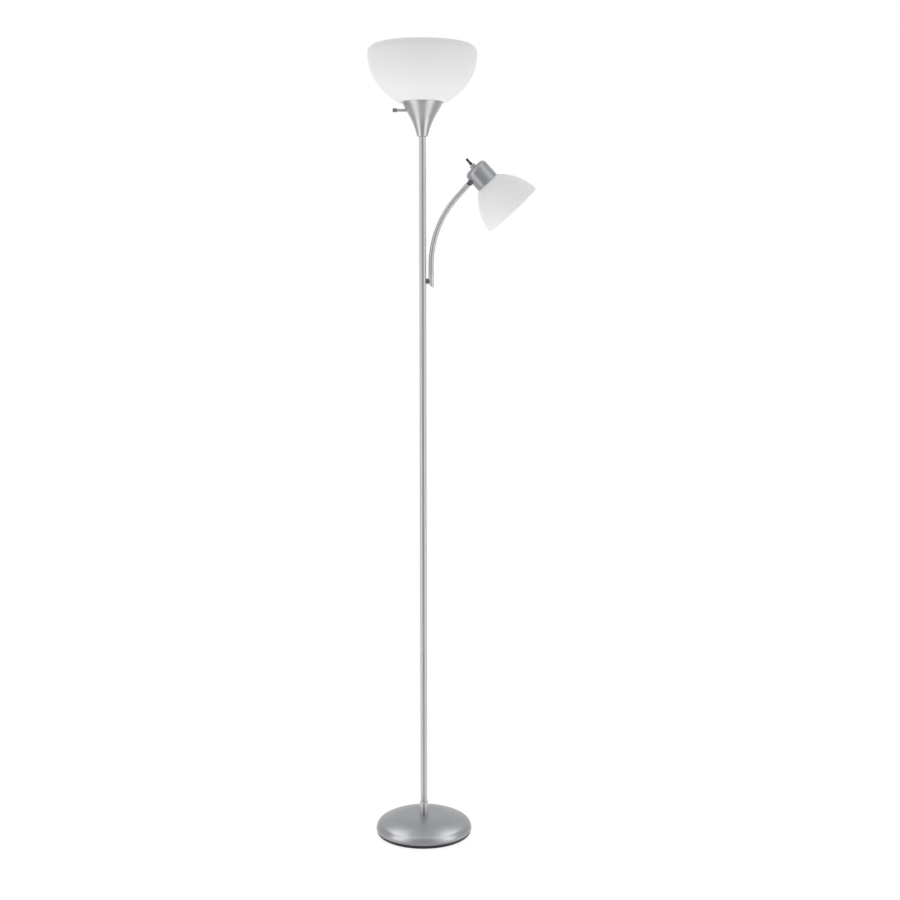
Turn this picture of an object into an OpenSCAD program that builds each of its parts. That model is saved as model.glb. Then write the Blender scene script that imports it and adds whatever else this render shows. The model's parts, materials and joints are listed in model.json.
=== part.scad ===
// Torchiere floor lamp with a side reading light on a flexible arm.
// Frame: origin at floor level on the pole's axis, +Z up, the reading arm towards +X,
// the torchiere's switch towards -X. All sizes are in millimetres.

/* [Overall] */
// Height of the lamp, from the floor to the bowl's rim
lamp_height = 1810; // [1450:1:2200]

/* [Base] */
// Widest radius of the base cover
base_radius = 112; // [100:0.5:140]
// Height of the base cover's top above the floor
base_height = 42.6; // [38:0.1:60]
// Height of the base cover's widest ring above the floor
base_wide_height = 9.3; // [9:0.1:10]
// Radius of the flat at the middle of the base cover's top
base_flat_radius = 40; // [30:0.5:44]
// Radius of the base cover's outer shoulder
base_shoulder_radius = 20; // [14:0.5:22]
// Thickness of the base cover's sheet
base_sheet = 1.5; // [1:0.1:2]
// Radius of the cast weight
weight_radius = 92; // [70:0.5:94]
// Thickness of the cast weight's disc
weight_thickness = 14; // [13:0.5:18]
// Height of the black base pan
pan_height = 7.5; // [7:0.1:8]
// Thickness of the base pan's floor
pan_floor = 2.5; // [2:0.1:3]
// Thickness of the felt pad under the base
pad_thickness = 2.4; // [1.5:0.1:3]
// Wall of the collar on the base
collar_wall = 1.7; // [1.4:0.1:4]
// Height of the collar on the base
collar_height = 30; // [20:1:40]
// Radius of the cord inlet's bore
inlet_bore_radius = 3.2; // [3:0.1:3.6]

/* [Pole] */
// Outer radius of the pole
pole_radius = 8; // [7.6:0.1:10]
// Wall of the pole's tubes
pole_wall = 1; // [0.8:0.1:1.2]
// Length of the top pole section below the trumpet
top_section_length = 395; // [380:1:480]
// Number of equal pole sections below the top one
lower_sections = 3; // [3]
// Length of each coupler inside the pole
coupler_length = 40; // [30:1:60]

/* [Torchiere] */
// Height of the trumpet
trumpet_height = 73.5; // [68:0.5:90]
// Radius at the foot of the trumpet's flare
trumpet_foot_radius = 12.4; // [11.5:0.1:14]
// Radius of the trumpet's curved lower flare
trumpet_flare_radius = 150; // [120:1:170]
// Angle from upright where the flare begins
flare_start_angle = 12; // [8:0.5:14]
// Angle from upright of the trumpet's upper cone
flare_end_angle = 30; // [27:0.5:33]
// Thickness of the trumpet's sheet
trumpet_sheet = 1.2; // [1:0.1:1.6]
// Drop of the switch's axis below the trumpet's top
switch_drop = 17.8; // [16:0.1:22]
// Distance of the switch knob's tip from the pole's axis
switch_reach = 66.5; // [60:0.5:80]

/* [Bowl shade] */
// Widest radius of the bowl
bowl_radius = 121.7; // [110:0.1:150]
// Height of the bowl, from its floor to its rim
bowl_height = 123.7; // [118:0.1:150]
// Radius of the bowl's side curve
bowl_side_radius = 109.4; // [105:0.1:115]
// Radius of the bowl's flatter lower curve
bowl_lower_radius = 260; // [220:1:320]
// Angle below level where the lower curve takes over
bowl_join_angle = 47; // [44:0.5:50]
// Radius of the in-turned rim
bowl_rim_radius = 18.5; // [14:0.1:22]
// Thickness of both plastic shades
shade_wall = 2.5; // [2:0.1:3]

/* [Reading arm] */
// Drop of the arm's bracket below the trumpet
arm_drop = 321.6; // [300:1:330]
// Distance of the arm from the pole's axis
arm_offset = 19; // [19:0.1:24]
// Radius of the flexible arm
arm_radius = 6; // [5:0.1:7.2]
// Length of the arm's straight start
arm_rise = 24; // [20:1:60]
// Radius of the arm's bend
arm_bend_radius = 225; // [180:1:280]
// Angle that the arm bends through
arm_bend_angle = 42; // [30:1:50]
// Length of the arm's straight end
arm_run = 37.3; // [30:0.5:60]
// Number of segments in the flexible arm
arm_segments = 6; // [6]
// Bend that each segment allows either way
segment_swing = 25; // [15:1:28]

/* [Reading head] */
// Angle of the reading light below level
head_down = 47; // [30:1:60]
// Outer radius of the lamp housing
housing_radius = 27.7; // [27:0.1:34]
// Length of the housing in front of the arm
housing_front = 26.4; // [25:0.1:30]
// Length of the housing behind the arm
housing_back = 20.2; // [19:0.1:26]
// Rounding of the housing's back edge
housing_rounding = 11; // [8:0.5:12]
// Thickness of the housing's sheet
housing_sheet = 1.2; // [1:0.1:1.5]
// Length of the reading shade in front of the housing
reading_shade_length = 83; // [75:0.5:110]
// Radius of the reading shade's bell curve
bell_radius = 120; // [110:1:140]
// Angle from its axis where the bell begins to flare
bell_start_angle = 50; // [45:0.5:52]

/* [Lamp holders] */
// Outer radius of the socket bodies
socket_radius = 17.5; // [17:0.1:18]
// Inner radius of the screw shells
shell_bore = 13.3; // [13.2:0.05:13.5]
// Radius of the torchiere's bulb
big_bulb_radius = 30; // [26:0.5:33]
// Radius of the reading light's bulb
small_bulb_radius = 23; // [20:0.5:24]

/* [Hidden] */
$fn = 96;

// clearances
slip = 0.1;       // a part that slides or screws into another of the same body
air = 0.3;        // surfaces that face each other without touching
running = 0.06;   // a turning shaft in its bearing
seam = 0.35;      // chamfer at the ends of the pole's tubes

// fittings that several pieces share
nipple_radius = 4.9;
nipple_bore = 3.2;
nut_radius = 9.8;
nut_height = 5;
washer_radius = 15;
washer_thickness = 1.5;
wire_radius = 2.3;

// base
pan_radius = base_radius - 2.2;
pan_side = 3;
pan_recess = pad_thickness + slip;
pad_radius = pan_radius - pan_side - 6;
weight_bottom = pan_recess + pan_floor;
weight_top = weight_bottom + weight_thickness;
boss_radius = 20;
boss_top = base_height - base_sheet;
counterbore_radius = washer_radius + 2;
counterbore_top = weight_bottom + washer_thickness + nut_height + 2;
screw_circle = 60;
screw_count = 3;
curl_radius = 2;
cover_rise = base_height - base_wide_height;
cover_run = base_radius - base_shoulder_radius - base_flat_radius;
crown_radius = (cover_run * cover_run + cover_rise * cover_rise
    - base_shoulder_radius * base_shoulder_radius)
    / (2 * (cover_rise - base_shoulder_radius));
crown_angle = atan2(crown_radius - cover_rise, cover_run);
bushing_radius = inlet_bore_radius + 2.8;
bushing_height = base_wide_height + 6;
bushing_length = 10.5;
wire_bottom = weight_bottom + 3;

// heights up the pole
bowl_floor_z = lamp_height - bowl_height;
trumpet_top_z = bowl_floor_z - air;
trumpet_foot_z = trumpet_top_z - trumpet_height;
pole_foot_z = base_height;
web_z = trumpet_foot_z + 15.5;
web_thickness = 2.5;
top_joint_z = trumpet_foot_z - top_section_length;
lower_section_length = (top_joint_z - pole_foot_z) / lower_sections;
pole_bore = pole_radius - pole_wall;
collar_radius = pole_radius + slip + collar_wall;
insert_radius = pole_bore - slip / 2;
plug_length = 20;

// torchiere
cone_z = trumpet_foot_z + trumpet_flare_radius * (sin(flare_end_angle) - sin(flare_start_angle));
cone_r = trumpet_foot_radius
    + trumpet_flare_radius * (cos(flare_start_angle) - cos(flare_end_angle));
trumpet_top_radius = cone_r + (trumpet_top_z - cone_z) * tan(flare_end_angle);
switch_z = trumpet_top_z - switch_drop;
socket_foot_z = web_z + web_thickness + washer_thickness + nut_height + 3;
socket_well = 6;
neck_radius = socket_radius + 1.5;
neck_height = 13.5;
flange_radius = neck_radius + 5;
flange_thickness = 2.5;
cavity_radius = shell_bore + 1;
shell_thickness = 0.5;
shell_length = 24;
contact_height = 1.4;
ring_thickness = 5;
ring_radius = neck_radius + 5.5;
shaft_radius = 1.9;
shaft_start = 5;
stem_radius = 3.2;
knob_radius = 4.4;
knob_length = 10;

// bulbs
cap_radius = shell_bore - air;
cap_length = 26;
big_bulb_length = 84;
small_bulb_length = 56;
glass_wall = 1.2;

// reading arm: the middle line is straight, then bent, then straight
bracket_z = trumpet_foot_z - arm_drop;
barrel_radius = arm_radius + 0.3;
barrel_top_z = bracket_z + 12.4;
barrel_bottom_z = bracket_z - 14;
spacer_radius = 5.9;
arm_nipple_radius = 3.4;
arm_nipple_bore = 2;
arm_nut_radius = 5.2;
arm_nut_height = 1.8;
// the nut's outer face reaches as far into the pole's round wall as its flats allow
arm_nut_start = sqrt(pow(pole_bore - slip, 2) - pow(arm_nut_radius * cos(30), 2)) - arm_nut_height;
arm_nipple_start = arm_nut_start - 0.4;
arm_bend_length = arm_bend_radius * arm_bend_angle * PI / 180;
arm_length = arm_rise + arm_bend_length + arm_run;
bend_out = arm_bend_radius * (1 - cos(arm_bend_angle));
bend_up = arm_bend_radius * sin(arm_bend_angle);

function turned_through(s) = min(max(s - arm_rise, 0), arm_bend_length) / arm_bend_radius * 180 / PI;
function past_bend(s) = max(s - arm_rise - arm_bend_length, 0);
function arm_point(s) = [
    arm_offset + arm_bend_radius * (1 - cos(turned_through(s)))
        + past_bend(s) * sin(arm_bend_angle),
    0,
    barrel_top_z + min(s, arm_rise) + arm_bend_radius * sin(turned_through(s))
        + past_bend(s) * cos(arm_bend_angle)
];

pivots = [for (i = [0 : arm_segments]) arm_point(arm_length * i / arm_segments)];

// ball and cup of each arm joint
lip = 0.5;
cup_radius = arm_radius - lip;
ball_radius = cup_radius - air;
arm_bore = 1.6;
kink = arm_bend_angle / arm_segments * arm_length / arm_bend_length + segment_swing + 1;

// reading head, along its own axis from the station where the arm enters
ferrule_reach = 9.5;     // from the arm's last pivot to the housing's side
ferrule_seat = 6.5;      // depth of the seat that the nipple stops at
nipple_inner_end = 20;   // from the light's axis to the nipple's inner end
head_reach = housing_radius + ferrule_reach;
head_origin = pivots[arm_segments] + head_reach * [sin(head_down), 0, cos(head_down)];
boss_outer = 6.7;
boss_length = 6.7;
head_flange_z = housing_front - 7.4;
head_cavity_z = head_flange_z - 13;
head_socket_back = -8;
collar_end = -housing_back - 3.8;
shade_neck_radius = housing_radius - housing_sheet - air;
shade_start = housing_front + 0.5;
shade_start_radius = housing_radius + 0.8;
bell_centre_z = shade_start + bell_radius * sin(bell_start_angle);
bell_centre_r = shade_start_radius - bell_radius * cos(bell_start_angle);
shade_end = shade_start + reading_shade_length;
key_radius = 3;
key_length = 17;

// points of an arc about (r, z), from angle a to angle b, both measured from +r towards +z
function arc(r, z, radius, a, b, steps) = [
    for (i = [0 : steps]) let (t = a + (b - a) * i / steps) [r + radius * cos(t), z + radius * sin(t)]
];

module turned(points) {
    rotate_extrude() polygon(points);
}

// ring along +Z from z to z + height
module ring(outer, inner, height, z = 0) {
    translate([0, 0, z]) difference() {
        cylinder(r = outer, h = height);
        translate([0, 0, -1]) cylinder(r = inner, h = height + 2);
    }
}

module hex_nut(outer, inner, height, z = 0) {
    translate([0, 0, z]) difference() {
        cylinder(r = outer, h = height, $fn = 6);
        translate([0, 0, -1]) cylinder(r = inner, h = height + 2);
    }
}

// puts +Z along -X, starting at the pole's axis
module to_switch_side(z) {
    translate([0, 0, z]) rotate([0, -90, 0]) children();
}

// puts +Z along +X, starting at the pole's axis
module to_arm_side(z) {
    translate([0, 0, z]) rotate([0, 90, 0]) children();
}

// puts +Z along the reading light's axis and +X towards the arm
module at_head() {
    translate(head_origin) rotate([0, 90 + head_down, 0]) children();
}

// ---- base ----

module base_cover() {
    shoulder_r = base_radius - base_shoulder_radius;
    crown_z = base_height - crown_radius;
    outer = concat(
        arc(base_radius - curl_radius, base_wide_height, curl_radius, -70, 0, 6),
        arc(shoulder_r, base_wide_height, base_shoulder_radius, 4, crown_angle, 16),
        arc(base_flat_radius, crown_z, crown_radius, crown_angle + 2, 90, 10)
    );
    inner = concat(
        arc(base_flat_radius, crown_z, crown_radius - base_sheet, 90, crown_angle, 10),
        arc(shoulder_r, base_wide_height, base_shoulder_radius - base_sheet, crown_angle - 3, 0, 16)
    );
    hole = nipple_radius + slip;
    color("silver") difference() {
        turned(concat(outer, [[hole, base_height], [hole, base_height - base_sheet]], inner,
            [[base_radius - base_sheet, pan_height + slip]]));
        translate([0, base_radius - bushing_length, bushing_height]) rotate([-90, 0, 0])
            cylinder(r = bushing_radius + slip, h = bushing_length + 1);
    }
}

module base_weight() {
    color("dimgray") difference() {
        turned([
            [nipple_radius + slip, weight_bottom], [weight_radius, weight_bottom],
            [weight_radius, weight_top - 2], [weight_radius - 2, weight_top],
            [boss_radius + 3, weight_top], [boss_radius, weight_top + 3],
            [boss_radius, boss_top], [nipple_radius + slip, boss_top]
        ]);
        translate([0, 0, weight_bottom - 1])
            cylinder(r = counterbore_radius, h = counterbore_top - weight_bottom + 1);
        for (i = [0 : screw_count - 1]) rotate([0, 0, i * 360 / screw_count])
            translate([screw_circle, 0, weight_bottom - 1]) cylinder(r = 2 + slip, h = 11);
    }
}

module base_pan() {
    color([0.06, 0.06, 0.065]) difference() {
        turned([
            [0, pan_recess], [pan_radius - pan_side - 5.5, pan_recess],
            [pan_radius - pan_side - 5.5, 0], [pan_radius - 1, 0], [pan_radius, 1],
            [pan_radius, pan_height], [pan_radius - pan_side, pan_height],
            [pan_radius - pan_side, weight_bottom], [0, weight_bottom]
        ]);
        for (i = [0 : screw_count - 1]) rotate([0, 0, i * 360 / screw_count])
            translate([screw_circle, 0, pan_recess - 1]) {
                cylinder(r = 2 + slip, h = pan_floor + 2);
                cylinder(r = 4 + slip, h = 1 + pan_floor / 2);
            }
    }
}

module floor_pad() {
    color([0.1, 0.1, 0.1]) cylinder(r = pad_radius, h = pad_thickness);
}

module pan_screws() {
    color("gainsboro") for (i = [0 : screw_count - 1]) rotate([0, 0, i * 360 / screw_count])
        translate([screw_circle, 0, pan_recess]) {
            cylinder(r = 2, h = 10);
            cylinder(r = 4, h = pan_floor / 2);
        }
}

module base_washer() {
    color("gainsboro") ring(washer_radius, nipple_radius + slip, washer_thickness,
        counterbore_top - washer_thickness);
}

module base_nut() {
    color("gold") hex_nut(nut_radius, nipple_radius + slip / 2, nut_height,
        counterbore_top - washer_thickness - nut_height);
}

module base_nipple() {
    bottom = weight_bottom + 1;
    color("gainsboro") ring(nipple_radius, nipple_bore, pole_foot_z + plug_length + 6 - bottom, bottom);
}

module cord_bushing() {
    color([0.08, 0.08, 0.08]) translate([0, base_radius + 2.5, bushing_height])
        rotate([90, 0, 0]) turned([
            [inlet_bore_radius + 0.6, 0], [bushing_radius - 1.2, 0], [bushing_radius, 1.2],
            [bushing_radius, bushing_length], [inlet_bore_radius, bushing_length],
            [inlet_bore_radius, 0.6]
        ]);
}

module base_collar() {
    inner = pole_radius + slip;
    color("lightgray") turned([
        [inner, pole_foot_z], [collar_radius, pole_foot_z],
        [collar_radius, pole_foot_z + collar_height - 0.8],
        [collar_radius - 0.8, pole_foot_z + collar_height], [inner, pole_foot_z + collar_height]
    ]);
}

module foot_plug() {
    color("gainsboro") ring(insert_radius, nipple_radius + slip / 2, plug_length, pole_foot_z + 2);
}

// ---- pole ----

module pole_tube(bottom, top) {
    color([0.66, 0.67, 0.69]) turned([
        [pole_bore, bottom], [pole_radius - seam, bottom], [pole_radius, bottom + seam],
        [pole_radius, top - seam], [pole_radius - seam, top], [pole_bore, top]
    ]);
}

function joint_z(i) = pole_foot_z + i * lower_section_length;

module pole_section_1() { pole_tube(joint_z(0), joint_z(1)); }
module pole_section_2() { pole_tube(joint_z(1), joint_z(2)); }
module pole_section_3() { pole_tube(joint_z(2), joint_z(3)); }

module pole_section_4() {
    color([0.66, 0.67, 0.69]) difference() {
        pole_tube(joint_z(lower_sections), web_z);
        to_arm_side(bracket_z) cylinder(r = arm_nipple_radius + slip, h = pole_radius + 1);
    }
}

module pole_coupler(i) {
    color("gainsboro")
        ring(insert_radius, nipple_radius, coupler_length, joint_z(i) - coupler_length / 2);
}

module pole_coupler_1() { pole_coupler(1); }
module pole_coupler_2() { pole_coupler(2); }
module pole_coupler_3() { pole_coupler(3); }

module top_plug() {
    color("gainsboro")
        ring(insert_radius, nipple_radius + slip / 2, plug_length, web_z - plug_length - 1);
}

module top_nipple() {
    color("gainsboro")
        ring(nipple_radius, nipple_bore, socket_foot_z + 5 - web_z + plug_length, web_z - plug_length);
}

module riser_wire() {
    wire_top = socket_foot_z + socket_well - 1;
    color("white") translate([0, 0, wire_bottom])
        cylinder(r = wire_radius, h = wire_top - wire_bottom, $fn = 24);
}

// ---- torchiere ----

module trumpet() {
    lip_r = pole_radius + slip;
    flare_cr = trumpet_foot_radius + trumpet_flare_radius * cos(flare_start_angle);
    flare_cz = trumpet_foot_z - trumpet_flare_radius * sin(flare_start_angle);
    thick = trumpet_flare_radius + trumpet_sheet;
    web_top = web_z + web_thickness;
    // angle at which the flare's inner wall meets the web's top face
    web_angle = asin((web_top - flare_cz) / thick);
    outer = concat(
        [[lip_r, trumpet_foot_z - 1.5], [lip_r + 1.5, trumpet_foot_z - 1.5]],
        arc(flare_cr, flare_cz, trumpet_flare_radius, 180 - flare_start_angle, 180 - flare_end_angle, 14),
        [[trumpet_top_radius, trumpet_top_z]]
    );
    inner = concat(
        [[trumpet_top_radius - trumpet_sheet / cos(flare_end_angle), trumpet_top_z]],
        arc(flare_cr, flare_cz, thick, 180 - flare_end_angle, 180 - web_angle, 10),
        [[nipple_radius + slip, web_top], [nipple_radius + slip, web_z], [lip_r, web_z]]
    );
    color([0.7, 0.7, 0.7]) difference() {
        turned(concat(outer, inner));
        to_switch_side(switch_z) cylinder(r = stem_radius + 2 * air, h = switch_reach);
    }
}

module trumpet_washer() {
    color("gainsboro") ring(washer_radius - 3.5, nipple_radius + slip, washer_thickness,
        web_z + web_thickness);
}

module trumpet_nut() {
    color("gold") hex_nut(nut_radius, nipple_radius + slip / 2, nut_height,
        web_z + web_thickness + washer_thickness);
}

module torchiere_socket() {
    top = bowl_floor_z + neck_height;
    color([0.15, 0.15, 0.15]) difference() {
        turned([
            [nipple_radius + slip, socket_foot_z], [nut_radius, socket_foot_z],
            [socket_radius - 3, socket_foot_z + socket_well],
            [socket_radius, socket_foot_z + socket_well + 3],
            [socket_radius, bowl_floor_z - flange_thickness - 3],
            [flange_radius, bowl_floor_z - flange_thickness], [flange_radius, bowl_floor_z],
            [neck_radius, bowl_floor_z], [neck_radius, top], [cavity_radius, top],
            [cavity_radius, top - shell_length - contact_height],
            [2, top - shell_length - contact_height], [2, switch_z + 6], [0, switch_z + 6],
            [0, socket_foot_z + socket_well], [nipple_radius + slip, socket_foot_z + socket_well]
        ]);
        to_switch_side(switch_z) translate([0, 0, shaft_start - 1])
            cylinder(r = shaft_radius + running, h = socket_radius);
    }
}

module screw_shell(bottom, height) {
    color("gold") ring(shell_bore + shell_thickness, shell_bore, height, bottom);
}

module torchiere_screw_shell() {
    screw_shell(bowl_floor_z + neck_height - shell_length, shell_length - 1);
}

// a spring tab: a button on a foot
module contact(bottom) {
    color("gold") translate([0, 0, bottom]) {
        cylinder(r = 5, h = 0.8);
        cylinder(r = 2.4, h = contact_height);
    }
}

module torchiere_contact() {
    contact(bowl_floor_z + neck_height - shell_length - contact_height);
}

module bowl_shade() {
    side_r = bowl_radius - bowl_side_radius;
    side_z = lamp_height - bowl_rim_radius;
    shift = bowl_lower_radius - bowl_side_radius;
    lower_r = side_r - shift * cos(bowl_join_angle);
    lower_z = side_z + shift * sin(bowl_join_angle);
    // the lower curve stops a little over the floor, where a flat chamfer meets it
    end_angle = asin((lower_z - bowl_floor_z - shade_wall) / bowl_lower_radius);
    inner_angle = asin((lower_z - bowl_floor_z - 2 * shade_wall) / (bowl_lower_radius - shade_wall));
    rim_r = bowl_radius - bowl_rim_radius;
    hole = neck_radius + air;
    outer = concat(
        arc(rim_r, side_z, bowl_rim_radius, 90, 0, 12),
        arc(side_r, side_z, bowl_side_radius, -3, -bowl_join_angle, 14),
        arc(lower_r, lower_z, bowl_lower_radius, -bowl_join_angle - 1, -end_angle, 6)
    );
    corner = lower_r + bowl_lower_radius * cos(end_angle) - 2 * shade_wall;
    inner = concat(
        arc(lower_r, lower_z, bowl_lower_radius - shade_wall, -inner_angle, -bowl_join_angle, 6),
        arc(side_r, side_z, bowl_side_radius - shade_wall, 1 - bowl_join_angle, 0, 14),
        arc(rim_r, side_z, bowl_rim_radius - shade_wall, 8, 90, 12)
    );
    color([0.93, 0.93, 0.92]) turned(concat(outer, [
        [corner, bowl_floor_z], [hole, bowl_floor_z], [hole, bowl_floor_z + shade_wall],
        [corner - shade_wall, bowl_floor_z + shade_wall]
    ], inner));
}

// a plastic ring that screws onto a socket's neck, with finger notches
module shade_ring(outer, inner, z) {
    notches = 10;
    color([0.92, 0.92, 0.9]) difference() {
        ring(outer, inner, ring_thickness, z);
        for (i = [0 : notches - 1]) rotate([0, 0, i * 360 / notches])
            translate([outer + 0.6, 0, z - 1]) cylinder(r = 1.6, h = ring_thickness + 2, $fn = 24);
    }
}

module bowl_ring() {
    shade_ring(ring_radius, neck_radius + slip, bowl_floor_z + shade_wall);
}

// screw cap of a bulb: threaded barrel, glass insulator and tip contact
module bulb_cap(bottom) {
    turns = 4;
    pitch = 3.6;
    tip = [[0, bottom], [3, bottom], [4.5, bottom + 0.8], [9, bottom + 2.5], [cap_radius - 1, bottom + 4]];
    thread = [for (i = [0 : 2 * turns]) [cap_radius - (i % 2) * 0.9, bottom + 5 + i * pitch / 2]];
    color("gainsboro") turned(concat(tip, thread, [
        [cap_radius - 0.9, bottom + cap_length - 3], [cap_radius, bottom + cap_length - 1],
        [cap_radius, bottom + cap_length], [0, bottom + cap_length]
    ]));
}

module torchiere_bulb_cap() {
    bulb_cap(bowl_floor_z + neck_height - shell_length + 0.2);
}

// glass of a bulb: a thin globe on a cone that narrows to the cap's throat, open at the cap
module bulb_glass(bottom, radius, length) {
    throat = cap_radius - 0.6;
    centre = bottom + length - radius;
    cone_angle = -50;
    color([0.95, 0.95, 0.93]) turned(concat(
        [[throat - glass_wall, bottom], [throat, bottom]],
        arc(0, centre, radius, cone_angle, 90, 20),
        arc(0, centre, radius - glass_wall, 90, cone_angle, 20)
    ));
}

module torchiere_bulb_glass() {
    bulb_glass(bowl_floor_z + neck_height - shell_length + 0.2 + cap_length, big_bulb_radius,
        big_bulb_length);
}

// ---- torchiere switch, which turns about its own axis ----

module torchiere_switch_stem() {
    color("lightgray") to_switch_side(switch_z) turned([
        [0, shaft_start], [shaft_radius, shaft_start], [shaft_radius, socket_radius + 2],
        [stem_radius, socket_radius + 2], [stem_radius, switch_reach - knob_length],
        [shaft_radius, switch_reach - knob_length], [shaft_radius, switch_reach - 3],
        [0, switch_reach - 3]
    ]);
}

module torchiere_switch_knob() {
    flutes = 10;
    start = switch_reach - knob_length;
    color([0.35, 0.35, 0.36]) to_switch_side(switch_z) difference() {
        turned([
            [shaft_radius, start], [knob_radius - 0.6, start], [knob_radius, start + 0.8],
            [knob_radius, switch_reach - 1.2], [knob_radius - 1.2, switch_reach],
            [0, switch_reach], [0, switch_reach - 3], [shaft_radius, switch_reach - 3]
        ]);
        for (i = [0 : flutes - 1]) rotate([0, 0, i * 360 / flutes])
            translate([knob_radius + 0.3, 0, start + 1.5])
                cylinder(r = 0.7, h = knob_length - 3.5, $fn = 24);
    }
}

// ---- reading arm ----

module arm_spacer() {
    color([0.4, 0.4, 0.42]) difference() {
        to_arm_side(bracket_z) translate([0, 0, pole_radius - 4])
            ring(spacer_radius, arm_nipple_radius + slip, arm_offset - barrel_radius - pole_radius + 6);
        translate([0, 0, bracket_z - 10]) cylinder(r = pole_radius + slip, h = 20);
        translate([arm_offset, 0, bracket_z - 10]) cylinder(r = barrel_radius + slip, h = 20);
    }
}

module arm_barrel() {
    mitre = 40;
    color([0.6, 0.6, 0.62]) difference() {
        translate([arm_offset, 0, 0]) turned(concat(
            [[0, barrel_bottom_z], [barrel_radius, barrel_bottom_z],
             [barrel_radius, barrel_top_z - 1], [barrel_radius - 0.3, barrel_top_z],
             [cup_radius, barrel_top_z]],
            arc(0, barrel_top_z, cup_radius, -4, -acos(arm_bore / cup_radius), 12),
            [[arm_bore, bracket_z], [0, bracket_z]]
        ));
        translate([arm_offset - barrel_radius, 0, bracket_z - 6]) rotate([0, mitre, 0])
            translate([-20, -20, -40]) cube([60, 40, 40]);
        to_arm_side(bracket_z) cylinder(r = arm_nipple_radius + slip, h = arm_offset + 1);
    }
}

module arm_nipple() {
    color("gainsboro") to_arm_side(bracket_z)
        ring(arm_nipple_radius, arm_nipple_bore, arm_offset - arm_nipple_start, arm_nipple_start);
}

module arm_nut() {
    color("gold") to_arm_side(bracket_z)
        hex_nut(arm_nut_radius, arm_nipple_radius + slip / 2, arm_nut_height, arm_nut_start);
}

// one arm segment along +Z: ball about the origin, cup about the far pivot
module segment(length) {
    color([0.62, 0.63, 0.65]) turned(concat(
        arc(0, 0, ball_radius, -acos(arm_bore / ball_radius), kink, 16),
        [[arm_radius, arm_radius * tan(kink)], [arm_radius, length], [cup_radius, length]],
        arc(0, length, cup_radius, -4, -acos(arm_bore / cup_radius), 12)
    ));
}

module gooseneck(i) {
    from = pivots[i - 1];
    span = pivots[i] - from;
    translate(from) rotate([0, atan2(span[0], span[2]), 0]) segment(norm(span));
}

module gooseneck_1() { gooseneck(1); }
module gooseneck_2() { gooseneck(2); }
module gooseneck_3() { gooseneck(3); }
module gooseneck_4() { gooseneck(4); }
module gooseneck_5() { gooseneck(5); }
module gooseneck_6() { gooseneck(6); }

// ---- reading head ----

module head_ferrule() {
    color([0.35, 0.36, 0.37]) at_head() difference() {
        translate([head_reach, 0, 0]) rotate([0, -90, 0]) turned(concat(
            arc(0, 0, ball_radius, -acos(arm_nipple_bore / ball_radius), kink, 16),
            [[arm_radius, arm_radius * tan(kink)], [arm_radius + 0.4, arm_radius * tan(kink) + 1],
             [arm_radius + 0.4, ferrule_reach + 3], [arm_nipple_radius + slip, ferrule_reach + 3],
             [arm_nipple_radius + slip, ferrule_seat], [arm_nipple_bore, ferrule_seat]]
        ));
        cylinder(r = housing_radius + slip, h = 2 * housing_radius, center = true);
    }
}

module ferrule_nipple() {
    color("gainsboro") at_head() rotate([0, 90, 0])
        ring(arm_nipple_radius, arm_nipple_bore,
            head_reach - ferrule_seat - running - nipple_inner_end, nipple_inner_end);
}

module ferrule_nut() {
    nut_flat = 6.4;
    // the nut stands clear of the housing's round wall at its corners
    sag = housing_radius - housing_sheet
        - sqrt(pow(housing_radius - housing_sheet, 2) - nut_flat * nut_flat);
    color("gold") at_head() rotate([0, 90, 0]) hex_nut(nut_flat, arm_nipple_radius + slip / 2, 4,
        housing_radius - housing_sheet - sag - slip - 4);
}

module reading_housing() {
    inner = housing_radius - housing_sheet;
    round_r = housing_radius - housing_rounding;
    round_z = housing_rounding - housing_back;
    boss_end = -housing_back - boss_length;
    boss_bore = boss_outer - 1.4;
    color([0.5, 0.51, 0.53]) at_head() difference() {
        turned(concat(
            [[shaft_radius + 2 * air, boss_end + 1.7], [shaft_radius + 2 * air, boss_end],
             [boss_outer - 1.5, boss_end], [boss_outer, boss_end + 1.5],
             [boss_outer, -housing_back - 1], [boss_outer + 1, -housing_back]],
            arc(round_r, round_z, housing_rounding, -90, 0, 12),
            [[housing_radius, housing_front], [inner, housing_front]],
            arc(round_r, round_z, housing_rounding - housing_sheet, 0, -90, 12),
            [[boss_bore, housing_sheet - housing_back], [boss_bore, boss_end + 1.7]]
        ));
        rotate([0, 90, 0]) cylinder(r = arm_nipple_radius + slip, h = housing_radius + 5);
    }
}

module reading_socket() {
    top = head_flange_z + neck_height - 2.5;
    color([0.15, 0.15, 0.15]) at_head() turned([
        [shaft_radius + running, collar_end], [boss_outer - 1.4 - slip, collar_end],
        [boss_outer - 1.4 - slip, head_socket_back - 1], [socket_radius - 3, head_socket_back],
        [socket_radius, head_socket_back + 3], [socket_radius, head_flange_z - flange_thickness],
        [neck_radius + 2, head_flange_z - flange_thickness], [neck_radius + 2, head_flange_z],
        [neck_radius - 1, head_flange_z], [neck_radius - 1, top], [cavity_radius, top],
        [cavity_radius, head_cavity_z], [0, head_cavity_z], [0, 0], [shaft_radius + running, 0]
    ]);
}

module reading_screw_shell() {
    at_head() screw_shell(head_cavity_z + 0.5, shell_length - 2.5);
}

module reading_contact() {
    at_head() contact(head_cavity_z);
}

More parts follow.
